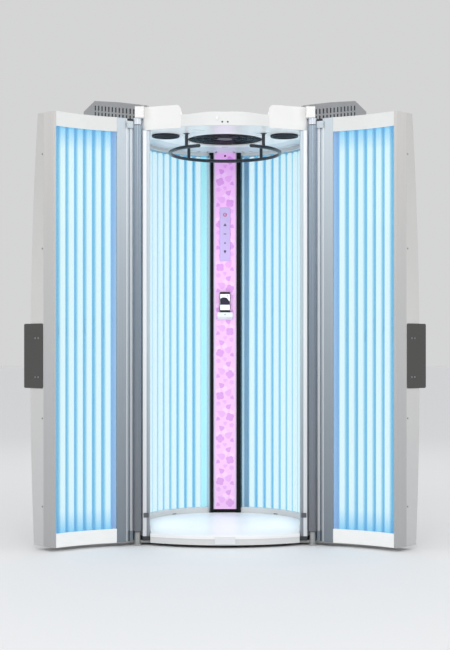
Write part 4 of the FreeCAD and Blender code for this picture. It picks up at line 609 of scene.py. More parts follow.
def lamp_finish(name, end_tint, stamped):
    """Light from the tube's own attributes: pale in front, deep blue at its flanks and tinted towards its
    ends. A stamped lamp has a plain printed patch on its flanks at mid height, broken up by noise."""
    tree, shader = empty_finish(name)
    front = node(tree, "ShaderNodeAttribute", attribute_name="front").outputs["Fac"]
    burn = node(tree, "ShaderNodeAttribute", attribute_name="burn").outputs["Fac"]
    ramp = node(tree, "ShaderNodeValToRGB")
    stops = ramp.color_ramp.elements
    stops[0].position, stops[0].color = 0.0, srgb(84, 168, 204)
    stops[1].position, stops[1].color = 0.85, srgb(226, 249, 255)
    stops.new(0.52).color = srgb(140, 208, 236)
    tree.links.new(front, ramp.inputs["Fac"])
    ends = blend_colours(tree, burn, srgb(*end_tint), (1, 1, 1, 1))
    light = blend_colours(tree, 1.0, ramp.outputs["Color"], ends, "MULTIPLY")
    if stamped:
        patch = node(tree, "ShaderNodeAttribute", attribute_name="stamp").outputs["Fac"]
        marks = noise(tree, 60.0, (1, 1, 0.4), detail=1.0)
        broken = node(tree, "ShaderNodeMath", operation="MULTIPLY")
        tree.links.new(patch, broken.inputs[0])
        tree.links.new(spread(tree, marks.outputs["Fac"], 0.0, 0.8, 0.45, 0.6), broken.inputs[1])
        light = blend_colours(tree, broken.outputs["Value"], light, srgb(78, 146, 178))
    tree.links.new(light, shader.inputs["Emission Color"])
    shader.inputs["Emission Strength"].default_value = LAMP_STRENGTH
    shader.inputs["Base Color"].default_value = srgb(40, 60, 70)
    shader.inputs["Roughness"].default_value = 0.2


lamp_finish("lamp_glass", (238, 254, 255), False)
lamp_finish("lamp_glass_stamped", (84, 196, 240), True)
make_finish("cap_metal", (214, 220, 226), 0.3, metallic=0.5, shade=0.05)
print("lamp radius", LAMP_RADIUS)


# %% Lamp shapes
def lamp_profile(bottom, top, cap):
    """Radius and height pairs of the glass: a crimped neck at each end and a straight tube between. The
    heights at the top are those at the bottom, turned over."""
    neck = LAMP_RADIUS - NECK_STEP
    rise = np.array([0.0, 0.004, 0.010, 0.05, 0.12, 0.25])
    radii = np.array([neck, neck, LAMP_RADIUS, LAMP_RADIUS, LAMP_RADIUS, LAMP_RADIUS])
    middle = np.array([STAMP_LOW - STAMP_EDGE, STAMP_LOW, STAMP_HIGH, STAMP_HIGH + STAMP_EDGE])
    heights = np.concatenate([bottom + cap + rise, middle, top - cap - rise[::-1]])
    return np.stack([np.concatenate([radii, np.full(4, LAMP_RADIUS), radii[::-1]]), heights], axis=1)


def cap_profile(bottom, top, cap):
    """The two metal caps, each a short cup with a rolled edge, closed on its axis: one at bottom plus height,
    the other at top less height."""
    inner, outer = LAMP_RADIUS - 0.004, LAMP_RADIUS - 0.0005
    cup = [(0, 0), (outer - 0.001, 0), (outer, 0.001), (outer, cap - 0.002),
           (outer - 0.0015, cap), (inner, cap), (0, cap)]
    low = [(radius, bottom + height) for radius, height in cup]
    high = [(radius, top - height) for radius, height in cup[::-1]]
    return np.array(low), np.array(high)


def lamp_set(name, places, centre, bottom, top, cap, fade, body, node_name, finish=None):
    """Lit tubes and their caps at the places. Front is the cosine between a point's own direction and the way
    to the centre, and burn is its distance from the caps over the length of the fade, both held between
    nought and one."""
    points, faces = turned(lamp_profile(bottom, top, cap), LAMP_SIDES)
    matrices = standing(places)
    inward = np.asarray(centre, float) - places
    inward /= np.linalg.norm(inward, axis=1, keepdims=True)
    radial = points[:, :2] / np.linalg.norm(points[:, :2], axis=1, keepdims=True)
    front = np.clip(np.einsum("ni,pi->np", inward, radial), 0, 1)
    reach = np.minimum(points[:, 2] - bottom, top - points[:, 2])
    burn = np.tile(np.clip((reach - cap) / fade, 0, 1), len(places))
    level = (points[:, 2] > STAMP_LOW - STAMP_EDGE / 2) & (points[:, 2] < STAMP_HIGH + STAMP_EDGE / 2)
    stamp = (level * np.clip(1.6 - 3.2 * front, 0, 1)).reshape(-1)
    glass = make_piece(name, *copies(points, faces, matrices), body, "lamp_glass", finish, merge=False,
                       attributes={"front": front.reshape(-1), "burn": burn, "stamp": stamp})
    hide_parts(node_name)
    cups = [copies(*turned(cup, LAMP_SIDES), matrices) for cup in cap_profile(bottom, top, cap)]
    make_piece(f"{name}_caps", *joined(cups), body, "lamp_glass", "cap_metal")


print("profile points", len(lamp_profile(0, 2, 0.018)))

# %% Place the wall lamps
LAMP_LINE = 0.457
CABIN_Y = 0.040
FIRST_LAMP, LAMP_STEP, WALL_TURN = np.radians([19.3, 6.4, 98.0])
ARC_LAMPS, STRAIGHT_LAMPS = 13, 4
STRAIGHT_LEAD, LAMP_PITCH = 0.019, 0.050
WALL_CAP, WALL_FADE = 0.006, 0.03
WALL_FOCUS = (0, -0.35)


def wall_lamp_places():
    """Round the rear, x and y are the lamp line times the sine and the cosine of equal angles. Then come
    equal steps straight on from the last turn. The other side has x turned round."""
    angle = FIRST_LAMP + LAMP_STEP * np.arange(ARC_LAMPS)
    run = STRAIGHT_LEAD + LAMP_PITCH * np.arange(STRAIGHT_LAMPS)
    turn_x, turn_y = LAMP_LINE * math.sin(WALL_TURN), CABIN_Y + LAMP_LINE * math.cos(WALL_TURN)
    x = np.concatenate([LAMP_LINE * np.sin(angle), turn_x + run * math.cos(WALL_TURN)])
    y = np.concatenate([CABIN_Y + LAMP_LINE * np.cos(angle), turn_y - run * math.sin(WALL_TURN)])
    return np.concatenate([np.stack([x, y], axis=1), np.stack([-x, y], axis=1)])


low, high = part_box("wall_lamps")
wall_places = wall_lamp_places()
lamp_set("wall_lamp_tubes", wall_places, WALL_FOCUS, low.z, high.z, WALL_CAP, WALL_FADE, "cabin",
         "wall_lamps")
print("wall lamps", len(wall_places), "from", round(low.z, 3), "to", round(high.z, 3))

# %% [markdown]
# ## The doors' own axes
# Each door stands open at an angle, so anything on it is placed along the door, out through its shell and up.
# Two unit vectors and the hinge give the place of any point, and the left door is the right one with x turned
# round.

# %% Points on a door
HINGE = np.array([0.430, -0.345])
OPEN_ANGLE = math.radians(31.5)
MITRE = math.radians(15.22)
DOOR_WIDTH = 0.440
DOOR_FACE = 0.008
SIDES = {"left": -1, "right": 1}


def door_axes(side):
    """Unit vectors: along the door, by cosine and less sine of the open angle, and out through its shell, by
    sine and cosine, with x times the side."""
    along = np.array([side * math.cos(OPEN_ANGLE), -math.sin(OPEN_ANGLE)])
    outward = np.array([side * math.sin(OPEN_ANGLE), math.cos(OPEN_ANGLE)])
    return along, outward


def on_door(side, along, depth, height):
    """Points in the room: the hinge, plus the place times the way along, plus the depth times the way out, at
    the height."""
    axis, outward = door_axes(side)
    along, depth, height = np.broadcast_arrays(along, depth, height)
    plan = HINGE * (side, 1) + along[..., None] * axis + depth[..., None] * outward
    return np.concatenate([plan, height[..., None]], axis=-1)


def door_plan(side, along, depth):
    """The x and y of places along a door, at depths behind the hinge axis."""
    return on_door(side, np.asarray(along), depth, 0.0)[..., :2]


WINDOW_MIDDLE = 0.269
WINDOW_CENTRE = -0.69903
DOOR_LAMP_ARC = 0.75403
DOOR_LAMPS, FIRST_DOOR_LAMP, DOOR_LAMP_PITCH = 6, 0.145, 0.048
DOOR_CAP, DOOR_FADE = 0.018, 0.13
DOOR_FOCUS = -3.0
door_lamp_along = FIRST_DOOR_LAMP + DOOR_LAMP_PITCH * np.arange(DOOR_LAMPS)
door_lamp_depth = WINDOW_CENTRE + np.sqrt(DOOR_LAMP_ARC ** 2 - (door_lamp_along - WINDOW_MIDDLE) ** 2)
for side_name, side in SIDES.items():
    low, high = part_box(f"door_lamps_{side_name}")
    lamp_set(f"door_lamp_tubes_{side_name}", door_plan(side, door_lamp_along, door_lamp_depth),
             door_plan(side, WINDOW_MIDDLE, DOOR_FOCUS), low.z, high.z, DOOR_CAP, DOOR_FADE,
             f"{side_name}_door", f"door_lamps_{side_name}", "lamp_glass_stamped")
print("door lamp depths in mm", np.round(door_lamp_depth * 1000, 1))

# %% [markdown]
# ## Bright strips on the hinge side
# A drawn profile is rarely one even face: the doors' hinge profiles carry a bright bead along the groove and
# a narrow rib beside the barrel, and the posts a bright cover on their raised outer half. Each is a thin
# bar with a round front, made upright as a plate with depth, so that it catches its own line of light, and
# its near-white colour is a painted highlight as well. Flat sheets line the groove, close the profile where
# it is cut back at its head, and seal the gap between a barrel and its post.

# %% Beads and post covers
BAR_PROUD, BAR_SUNK = 0.0012, 0.0002


def upright_bar(half_wide, bottom, top, proud, steps=7):
    """Bar whose section is a shallow arch: across is the half width times the cosine, and out is the rise
    times the sine, of the same angle, closed by a flat back and at both ends."""
    angle = np.linspace(0, np.pi, steps)
    across = np.concatenate([half_wide * np.cos(angle), [-half_wide, half_wide]])
    out = np.concatenate([proud * np.sin(angle), [-BAR_SUNK, -BAR_SUNK]])
    count = len(across)
    low = np.stack([across, np.full(count, bottom), out], axis=1)
    high = np.stack([across, np.full(count, top), out], axis=1)
    ring = np.arange(count)
    after = (ring + 1) % count
    sides = np.stack([ring, after, after + count, ring + count], axis=1)
    return np.concatenate([low, high]), sides.tolist() + [ring[::-1].tolist(), (ring + count).tolist()]


def upright_sheet(corners, bottom, top, thick=0.0004):
    """Sheet through plan corners: each corner and its twin, one thickness along the run's own normal, at the
    bottom and at the top."""
    corners = np.asarray(corners, float)
    along = np.gradient(corners, axis=0)
    along /= np.linalg.norm(along, axis=1, keepdims=True)
    normal = np.stack([-along[:, 1], along[:, 0]], axis=1) * thick
    count = len(corners)
    levels = [np.column_stack([plan, np.full(count, z)])
              for z in (bottom, top) for plan in (corners, corners + normal)]
    loop = np.stack([levels[0], levels[1], levels[3], levels[2]], axis=1)
    last = 4 * (count - 1)
    ends = np.array([[0, 3, 2, 1], [last, last + 1, last + 2, last + 3]])
    return loop.reshape(-1, 3), np.concatenate([grid_quads(count, 4, True), ends])


def bar_piece(name, half_wide, bottom, top, matrix, body, finish):
    """An upright bar of aluminium at a placement, in a finish of its own."""
    points, faces = upright_bar(half_wide, bottom, top, BAR_PROUD)
    return make_piece(name, points @ matrix[:3, :3].T + matrix[:3, 3], faces, body, "satin_aluminium", finish)


def sheet_piece(name, corners, bottom, top, body, slot_name, finish=None):
    """An upright sheet through plan corners."""
    return make_piece(name, *upright_sheet(corners, bottom, top), body, slot_name, finish)


POST_FOOT, POST_HEAD, SEAL_HEAD = 0.046, 2.035, 2.0955
COVER_X, COVER_HALF, COVER_Y = 0.394, 0.0092, -0.352
SEAL_X, SEAL_Y = (0.4042, 0.4068, 0.4092), -0.3285
GROOVE_ALONG, GROOVE_DEEP, GROOVE_FOOT, GROOVE_HEAD = (0.0363, 0.0430, 0.0497), 0.005, 0.0725, 2.0485
LIP_ALONG, LIP_DEPTH, LIP_FOOT, LIP_HEAD = (0.0225, 0.0400, 0.0570), -0.0004, 2.0460, 2.0795
DOOR_BEADS = [("groove_bead", 0.0535, 0.0032, 0.022, 2.091), ("barrel_rib", 0.0290, 0.0066, 0.072, 2.049)]
for side_name, side in SIDES.items():
    door = f"{side_name}_door"
    inward = np.append(-door_axes(side)[1], 0)
    for name, along, half_wide, bottom, top in DOOR_BEADS:
        matrix = placement(on_door(side, along, DOOR_FACE, 0.0), inward)
        bar_piece(f"{name}_{side_name}", half_wide, bottom, top, matrix, door, "bead_bright")
    groove = door_plan(side, GROOVE_ALONG, DOOR_FACE + GROOVE_DEEP)
    sheet_piece(f"groove_strip_{side_name}", groove, GROOVE_FOOT, GROOVE_HEAD, door, "satin_aluminium")
    front = facing_front(side * COVER_X, COVER_Y, 0.0)
    bar_piece(f"post_cover_{side_name}", COVER_HALF, POST_FOOT, POST_HEAD, front, "cabin", "post_bright")
    lip = door_plan(side, LIP_ALONG, LIP_DEPTH)
    sheet_piece(f"corner_lip_{side_name}", lip, LIP_FOOT, LIP_HEAD, door, "satin_aluminium")
    seal = [(side * x, SEAL_Y) for x in SEAL_X]
    sheet_piece(f"post_seal_{side_name}", seal, POST_FOOT, SEAL_HEAD, "cabin", "satin_aluminium",
                "post_satin")
print("beads, ribs, strips, covers, lips and seals", 6 * len(SIDES))

# %% [markdown]
# ## Sleeves, lit edges and reflector wings
# The hinge barrels have a satin sleeve that is darker than the flat faces; that darker colour is painted
# shade.
# Behind the hinge side of each door's window a bent sheet closes the lamp space, and the lamps' light on it
# is painted into its colour and glow. Beside the column a strip of reflector carries a painted reflection of
# the lamps in its colour and glow, bright on the left and dim on the right, with a paler hem where it meets
# the column, whose paleness and glow are painted light too. A narrow trim covers the column's left front
# corner;
# its satin grey, which the right corner lacks, is a painted reflection. Apart from the sleeves, all are
# sheets
# along an upright fold line: a few corners, carried up.

# %% Sleeves, folds and wings
SLEEVE_INNER, SLEEVE_OUTER, SLEEVE_FOOT, SLEEVE_LONG = 0.0219, 0.0224, 0.070, 1.990
FOLD_ALONG, FOLD_DEPTH = (0.1087, 0.1087, 0.1130), np.array([0.0155, 0.0365, 0.0760])
SLEEVE_START, SLEEVE_END = np.radians([-190, 10])
WING_RADIUS, HEM_RADIUS, WING_END = 0.4855, 0.4840, 16.4
WING_STARTS = {"left": 10.3, "right": 11.4}
HEM_ENDS = {"left": 12.3, "right": 12.8}
WALL_FOOT, WALL_HEAD, EDGE_HEAD = 0.062, 2.030, 2.046
COLUMN_CORNER = [(-0.0866, 0.4400), (-0.0866, 0.4314), (-0.0815, 0.4314)]


def reflector_arc(side, start, end, radius):
    """Plan points round the cabin's middle, at angles from the rear: x is the radius times the sine, and y
    the radius times the cosine."""
    angle = np.radians(np.linspace(start, end, 6))
    return np.stack([side * radius * np.sin(angle), CABIN_Y + radius * np.cos(angle)], axis=1)


for side_name, side in SIDES.items():
    door = f"{side_name}_door"
    # Barrel sleeve: its darker satin is painted shade on the barrel.
    points, faces = bent_bar(SLEEVE_INNER, SLEEVE_OUTER, SLEEVE_START, SLEEVE_END, SLEEVE_LONG, 40)
    make_piece(f"barrel_sleeve_{side_name}", points + (side * HINGE[0], HINGE[1], SLEEVE_FOOT), faces, door,
               "satin_aluminium", "barrel_satin")
    fold = door_plan(side, FOLD_ALONG, FOLD_DEPTH)
    sheet_piece(f"lit_edge_{side_name}", fold, WALL_FOOT, EDGE_HEAD, door, "reflector_sheet", "lit_edge")
    start = WING_STARTS[side_name]
    wing = reflector_arc(side, start, WING_END, WING_RADIUS)
    hem = reflector_arc(side, start, HEM_ENDS[side_name], HEM_RADIUS)
    # Wing and hem: painted reflection of the lamps in their colour and glow.
    sheet_piece(f"reflector_wing_{side_name}", wing, WALL_FOOT, WALL_HEAD, "cabin", "reflector_sheet",
                f"wing_{side_name}")
    sheet_piece(f"wing_hem_{side_name}", hem, WALL_FOOT, WALL_HEAD, "cabin", "reflector_sheet", "wing_hem")
# Left corner only: its satin grey is a painted reflection; the right corner stays black.
sheet_piece("column_corner_left", COLUMN_CORNER, WALL_FOOT, WALL_HEAD, "cabin", "satin_aluminium",
            "barrel_satin")
print("sleeve radius", SLEEVE_OUTER)

# %% [markdown]
# ## Screws
# Pan-head screws hold the shells, the handles, the roof and the casings. One head is a turned dome with a
# socket in its middle. Each row of screws is made of copies of that dome, in one go.

# %% Screw heads
make_finish("screw_metal", (150, 152, 154), 0.3, metallic=0.8, shade=0.05)
make_finish("screw_dark", (60, 62, 64), 0.4, metallic=0.4, shade=0.1)


def screw_head(radius):
    """A shallow dome with a rolled foot and a small socket in its middle, closed behind."""
    profile = [(0, 0.16), (0.34, 0.16), (0.40, 0.42), (0.62, 0.40), (0.86, 0.26), (1.0, 0.08), (1.0, -0.05),
               (0, -0.05)]
    return turned(radius * np.array(profile), 16)


def screws(name, places, outs, radius, body, slot_name, finish):
    """Screw heads at the places, each facing out along its own direction."""
    points, faces = screw_head(radius)
    matrices = [placement(place, out) for place, out in zip(places, outs)]
    make_piece(name, *copies(points, faces, matrices), body, slot_name, finish)


SHELL_SCREW_HEIGHTS = (1.896, 1.444, 0.632, 0.210)
HANDLE_SCREWS = [(0.122, 1.016), (0.145, 1.016), (0.122, 0.829), (0.145, 0.829)]
HANDLE_THICK = 0.003
SLANT_SCREW_LINE = 0.0935
SCREW_RADIUS, FASCIA_SCREW_RADIUS = 0.0045, 0.0042


def on_slant(side, slant, lift, height):
    """A point on the slanted free edge, and the way it faces. Along is the width, plus the slant times the
    sine and the lift times the cosine of the mitre. Depth is the slant times the cosine, less the lift times
    the sine."""
    along = DOOR_WIDTH + slant * math.sin(MITRE) + lift * math.cos(MITRE)
    depth = slant * math.cos(MITRE) - lift * math.sin(MITRE)
    axis, outward = door_axes(side)
    facing = math.cos(MITRE) * axis - math.sin(MITRE) * outward
    return on_door(side, along, depth, height), np.append(facing, 0)


for side_name, side in SIDES.items():
    door = f"{side_name}_door"
    shell = [on_slant(side, SLANT_SCREW_LINE, 0.0, height) for height in SHELL_SCREW_HEIGHTS]
    screws(f"shell_screws_{side_name}", *zip(*shell), SCREW_RADIUS, door, "shell_white", "screw_metal")
    grip = [on_slant(side, slant, HANDLE_THICK, height) for slant, height in HANDLE_SCREWS]
    screws(f"handle_screws_{side_name}", *zip(*grip), SCREW_RADIUS, door, "handle_grey", "screw_metal")
print("screws on each door", len(SHELL_SCREW_HEIGHTS) + len(HANDLE_SCREWS))

# %% Screws of the roof and the casings
FASCIA_SCREWS = [(-0.0133, -0.4448, 2.062), (0.0133, -0.4448, 2.062)]
screws("fascia_screws", FASCIA_SCREWS, [(0, -1, 0)] * 2, FASCIA_SCREW_RADIUS, "cabin", "white_moulding",
       "screw_dark")
CASING_LINES = {
    "side_casing": ((0.404, -0.329), (0.7598, 0.2518)),
    "corner_casing": ((0.7598, 0.2518), (0.470, 0.740)),
}
CASING_ROWS = (0.10, 0.70, 1.35, 2.00)
CASING_INSET = 0.03
REAR_COLUMNS, REAR_Y = (-0.44, 0.0, 0.44), 0.740


def casing_screws(start, end, side):
    """Two upright rows of screws, set in from both ends of a casing's line, and the line's normal that they
    face along."""
    start, end = np.array(start), np.array(end)
    along = (end - start) / np.linalg.norm(end - start)
    out = np.array([along[1], -along[0], 0]) * (side, 1, 1)
    ends = np.array([start + CASING_INSET * along, end - CASING_INSET * along]) * (side, 1)
    places = [(*corner, height) for corner in ends for height in CASING_ROWS]
    return places, [out] * len(places)


for stem, (start, end) in CASING_LINES.items():
    for side_name, side in SIDES.items():
        screws(f"{stem}_screws_{side_name}", *casing_screws(start, end, side), SCREW_RADIUS, "cabin",
               "casing_panel", "screw_metal")
rear = [(x, REAR_Y, height) for x in REAR_COLUMNS for height in CASING_ROWS]
screws("rear_casing_screws", rear, [(0, 1, 0)] * len(rear), SCREW_RADIUS, "cabin", "casing_panel",
       "screw_metal")
print("rear casing screws", len(rear))

# %% [markdown]
# ## The printed panel
# The column's panel carries a faint repeating print. The one made here is a plain floral: a broad
# four-petalled blossom on alternate sides, with a leaf, a sprig, a bud and a small blossom, turned a little
# from row to row, and paler shapes between them. Printing could be a texture, but thin plates stay crisp from
# close by and are kept with the mesh.

# %% Shapes of the print
def rosette(radius, petals=5, points=60):
    """Round petals about a middle: the reach is the radius times a waist, plus the rest times the root of the
    size of the cosine of half the petal count times the angle, so petals are blunt and their dips sharp."""
    angle = np.arange(points) * 2 * np.pi / points
    reach = radius * (0.62 + 0.38 * np.sqrt(np.abs(np.cos(petals * angle / 2))))
    return np.stack([reach * np.cos(angle), reach * np.sin(angle)], axis=1)


def leaf(length, wide, points=32):
    """Leaf: along is half the length times the cosine, across is the half width times the sine and the square
    of the sine of the half angle, so that one end is round and the other is a point."""
    angle = np.arange(points) * 2 * np.pi / points
    return np.stack([wide * np.sin(angle) * np.sin(angle / 2) ** 2, length / 2 * np.cos(angle)], axis=1)


PRINT_TONES = {
    "print_rose": ((224, 160, 222), (224, 160, 224), (232, 152, 236), 0.06),
    "print_mauve": ((234, 174, 230), (234, 174, 232), (243, 168, 244), 0.07),
    "print_pale": ((248, 203, 241), (248, 203, 241), (253, 200, 250), 0.12),
}
for name, (foot, waist, head, glow) in PRINT_TONES.items():
    upright_finish(name, foot, waist, head, 0.3, shade=0.04, grain=120.0, depth=0.00004, stretch=EVEN_GRAIN,
                   coat=0.1, glow=glow)
make_finish("print_margin", (214, 196, 218), 0.3, shade=0.05, coat=0.1)
PANEL_FACE = 0.434
PALE_THICK, LEAF_THICK, ROSE_THICK, MARGIN_THICK = 0.0001, 0.0002, 0.0003, 0.0004
print("rosette points", len(rosette(0.02)), "leaf points", len(leaf(0.04, 0.01)))

# %% Lay the print out
FIRST_ROW, ROW_PITCH, ROWS = 0.115, 0.118, 17
MARGIN_X, MARGIN_MIDDLE, MARGIN_HALF = 0.0585, 1.0625, 0.9815
row = np.arange(ROWS)
row_z = FIRST_ROW + ROW_PITCH * row
swing = np.where(row % 2 == 0, 1, -1)


def printed(outline, thick, across, heights, spins):
    """Thin plates of one outline on the panel's face, one for each place and turn. Each kind has a thickness
    of its own, so that where two overlap, one lies cleanly over the other."""
    spots = zip(across, heights, spins)
    return plates(outline, thick, [facing_front(x, PANEL_FACE, z, spin) for x, z, spin in spots])


roses = printed(rosette(0.0235, 4), ROSE_THICK, 0.027 * swing, row_z, 0.5 * row)
row, row_z, swing = row[:-1], row_z[:-1], swing[:-1]  # the rest of the print lies between two rows
small = printed(rosette(0.0135, 5), LEAF_THICK, -0.036 * swing, row_z + 0.074, 0.9 * row)
leaf_turns = 0.9 * swing + 0.15 * (row % 3)
leaves = printed(leaf(0.050, 0.028), LEAF_THICK, -0.024 * swing, row_z + 0.022, leaf_turns)
sprigs = printed(leaf(0.036, 0.022), ROSE_THICK, 0.022 * swing, row_z + 0.060, -0.8 * swing)
buds = printed(leaf(0.026, 0.016), LEAF_THICK, -0.004 * swing, row_z + 0.086, 1.1 * swing)
pale = printed(rosette(0.0165, 5), PALE_THICK, 0.002 * swing, row_z + 0.038, 0.4 * row)
clouds = printed(leaf(0.034, 0.022), PALE_THICK, 0.035 * swing, row_z + 0.030, 0.5 * swing)
tips = printed(leaf(0.026, 0.017), ROSE_THICK, -0.041 * swing, row_z - 0.012, 2.3 * swing)
make_piece("print_roses", *joined([roses, sprigs, tips]), "cabin", "decor_pink", "print_rose")
make_piece("print_pale", *joined([pale, clouds]), "cabin", "decor_pink", "print_pale")
make_piece("print_leaves", *joined([leaves, small, buds]), "cabin", "decor_pink", "print_mauve")
margins = plates(rounded_outline(0.0035, MARGIN_HALF, 0.001), MARGIN_THICK,
                 [facing_front(x, PANEL_FACE, MARGIN_MIDDLE) for x in (-MARGIN_X, MARGIN_X)])
make_piece("print_margins", *margins, "cabin", "decor_pink", "print_margin")
eye = turned([(0, 0.003), (0.0025, 0.0027), (0.0045, 0.0015), (0.0055, 0.0), (0, 0.0)], 20)
make_piece("panel_eye", *copies(*eye, [facing_front(0, PANEL_FACE, 2.0275)]), "cabin", "column_black")
print("print rows", ROWS, "from", FIRST_ROW, "to", round(FIRST_ROW + ROW_PITCH * (ROWS - 1), 3))

# %% [markdown]
# ## Touch signs
# The touch strip has five keys. Each has a plain sign that any appliance could carry: an on-off ring in red,
# then a fan, a dash, a dot and a drop in dark violet. The signs are thin plates on the strip's face, with a
# fine frame.

# %% Signs on the strip
make_finish("sign_red", (190, 36, 92), 0.4, shade=0.05, glow=0.05)
make_finish("sign_dark", (84, 52, 104), 0.4, shade=0.05)
make_finish("sign_line", (200, 158, 226), 0.35, shade=0.05, glow=0.1)
STRIP_FACE = 0.430
SIGN_THICK = 0.0003
FAN_REACH = 0.0052
FRAME_INSET, FRAME_LINE = 0.0016, 0.0006
SIGN_HEIGHTS = {"power": 1.703, "fan": 1.646, "dash": 1.597, "dot": 1.547, "drop": 1.498}


def signed(shape, height, x=0.0, rise=0.0, spin=0.0):
    """One sign's shape on the strip, at a height, moved across and up and turned."""
    return copies(*shape, [facing_front(x, STRIP_FACE, height + rise, spin)])


power = [
    signed(bent_bar(0.0058, 0.0102, math.radians(120), math.radians(420), SIGN_THICK), SIGN_HEIGHTS["power"]),
    signed(slab(rounded_outline(0.0016, 0.0052, 0.0015), SIGN_THICK), SIGN_HEIGHTS["power"], rise=0.006),
]
make_piece("sign_power", *joined(power), "cabin", "keys_lavender", "sign_red")
blades = [signed(slab(leaf(0.011, 0.0058), SIGN_THICK), SIGN_HEIGHTS["fan"], FAN_REACH * math.sin(turn),
                 FAN_REACH * math.cos(turn), -turn) for turn in np.radians([0, 120, 240])]
others = [
    signed(slab(rounded_outline(0.0078, 0.0021, 0.002), SIGN_THICK), SIGN_HEIGHTS["dash"]),
    signed(slab(round_outline(0.0042), SIGN_THICK), SIGN_HEIGHTS["dot"]),
    signed(slab(leaf(0.019, 0.0105), SIGN_THICK), SIGN_HEIGHTS["drop"], spin=math.pi),
]
make_piece("sign_keys", *joined(blades + others), "cabin", "keys_lavender", "sign_dark")
low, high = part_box("control_panel")
middle_z, half_x, half_z = (low.z + high.z) / 2, high.x - FRAME_INSET, (high.z - low.z) / 2 - FRAME_INSET
upright = slab(rounded_outline(FRAME_LINE, half_z, 0.0005), SIGN_THICK)
level = slab(rounded_outline(half_x, FRAME_LINE, 0.0005), SIGN_THICK)
lines = [signed(upright, middle_z, x) for x in (-half_x, half_x)]
lines += [signed(level, middle_z, 0, z) for z in (-half_z, half_z)]
make_piece("strip_frame", *joined(lines), "cabin", "keys_lavender", "sign_line")
print("signs", len(SIGN_HEIGHTS), "on a strip from", round(low.z, 3), "to", round(high.z, 3))

# %% [markdown]
# ## The phone's picture
# The phone in the dock shows a bright picture between two dark bands. The one made here is a made-up evening
# view: a pale sky, a dark round hill with a moon over it, and a bright shore. It rides on the phone, not on
# the booth.

# %% Picture on the phone
make_finish("screen_pale", (238, 240, 238), 0.12, shade=0.04, coat=0.5, glow=0.3)
make_finish("screen_hill", (34, 22, 52), 0.12, shade=0.1, coat=0.5)
make_finish("screen_moon", (176, 190, 186), 0.12, shade=0.05, coat=0.5, glow=0.2)
low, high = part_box("phone")
SCREEN_HALF = high.x - 0.0028
SCREEN_FOOT, SCREEN_HEAD = 1.1770, high.z - 0.0125
SCREEN_MIDDLE, SCREEN_TALL = (SCREEN_FOOT + SCREEN_HEAD) / 2, (SCREEN_HEAD - SCREEN_FOOT) / 2
PHONE_FACE = low.y
HILL_ASIDE, HILL_UNDER = 0.22, 0.020


def hill_outline(half_wide, foot, top, points=24):
    """Round hill: the height of its ridge is the foot plus the rise times the root of one less the squared
    place across, a little to one side of the middle, and its underside is a straight line."""
    across = np.linspace(half_wide, -half_wide, points)
    ridge = foot + (top - foot) * np.sqrt(np.clip(1 - (across / half_wide + HILL_ASIDE) ** 2, 0, 1))
    under = np.array([(-half_wide, foot - HILL_UNDER), (half_wide, foot - HILL_UNDER)])
    return np.concatenate([np.stack([across, ridge], axis=1), under])


def on_screen(name, outline, thick, x, rise, finish):
    """A thin plate on the phone's glass, off its middle. What lies in front is a little thicker."""
    place = facing_front(x, PHONE_FACE, SCREEN_MIDDLE + rise)
    make_piece(name, *plates(outline, thick, [place]), "phone", "phone_black", finish)


on_screen("phone_screen", rounded_outline(SCREEN_HALF, SCREEN_TALL, 0.0008), 0.0002, 0, 0, "screen_pale")
on_screen("phone_hill", hill_outline(SCREEN_HALF - 0.0006, -0.003, 0.018), 0.0003, 0, 0.008, "screen_hill")
on_screen("phone_moon", round_outline(0.0046), 0.0003, 0.014, 0.034, "screen_moon")
low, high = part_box("phone_dock")
port = plates(rounded_outline(0.0042, 0.0011, 0.001), 0.0003, [facing_front(0, low.y, low.z + 0.028)])
make_piece("dock_port", *port, "cabin", "dock_silver", "screw_dark")
print("screen", round(2 * SCREEN_HALF * 1000, 1), "mm wide")

# %% [markdown]
# ## Under the ceiling
# The handrail is a tube bent to an open ring, with round ends, hung on four slim stems whose feet flare out
# at the ceiling. The speakers have a domed cloth in a turned rim, and the fan's guard has fine wires between
# its stout ones and a grey cap in its middle. Ring, stems and rims are made anew, because they want to be
# truly round.

# %% Handrail
RAIL_RADIUS, RAIL_THICK, RAIL_HEIGHT = 0.2840, 0.0088, 1.977
RAIL_MOUTH = math.radians(25.6) + RAIL_THICK / RAIL_RADIUS
STEM_X, STEM_TOP = 0.193, 2.045
ring = arc_tube(RAIL_RADIUS, RAIL_THICK, RAIL_MOUTH - math.pi / 2, 3 * math.pi / 2 - RAIL_MOUTH, RAIL_HEIGHT)
rail = make_piece("handrail_tube", *ring, "cabin", "rail_dark")
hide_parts("handrail_ring")
stem_profile = [
    (0, RAIL_HEIGHT), (0.0082, RAIL_HEIGHT), (0.0082, STEM_TOP - 0.007), (0.0092, STEM_TOP - 0.004),
    (0.014, STEM_TOP - 0.0022), (0.0165, STEM_TOP - 0.001), (0.0165, STEM_TOP), (0, STEM_TOP)]
stem_y = math.sqrt(RAIL_RADIUS ** 2 - STEM_X ** 2)
stem_places = standing([(-STEM_X, -stem_y), (STEM_X, -stem_y), (STEM_X, stem_y), (-STEM_X, stem_y)])
stems = make_piece("handrail_stems", *copies(*turned(stem_profile, 24), stem_places), "cabin", "rail_dark")
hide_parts("handrail_posts")
print("stems at", STEM_X, round(stem_y, 4))

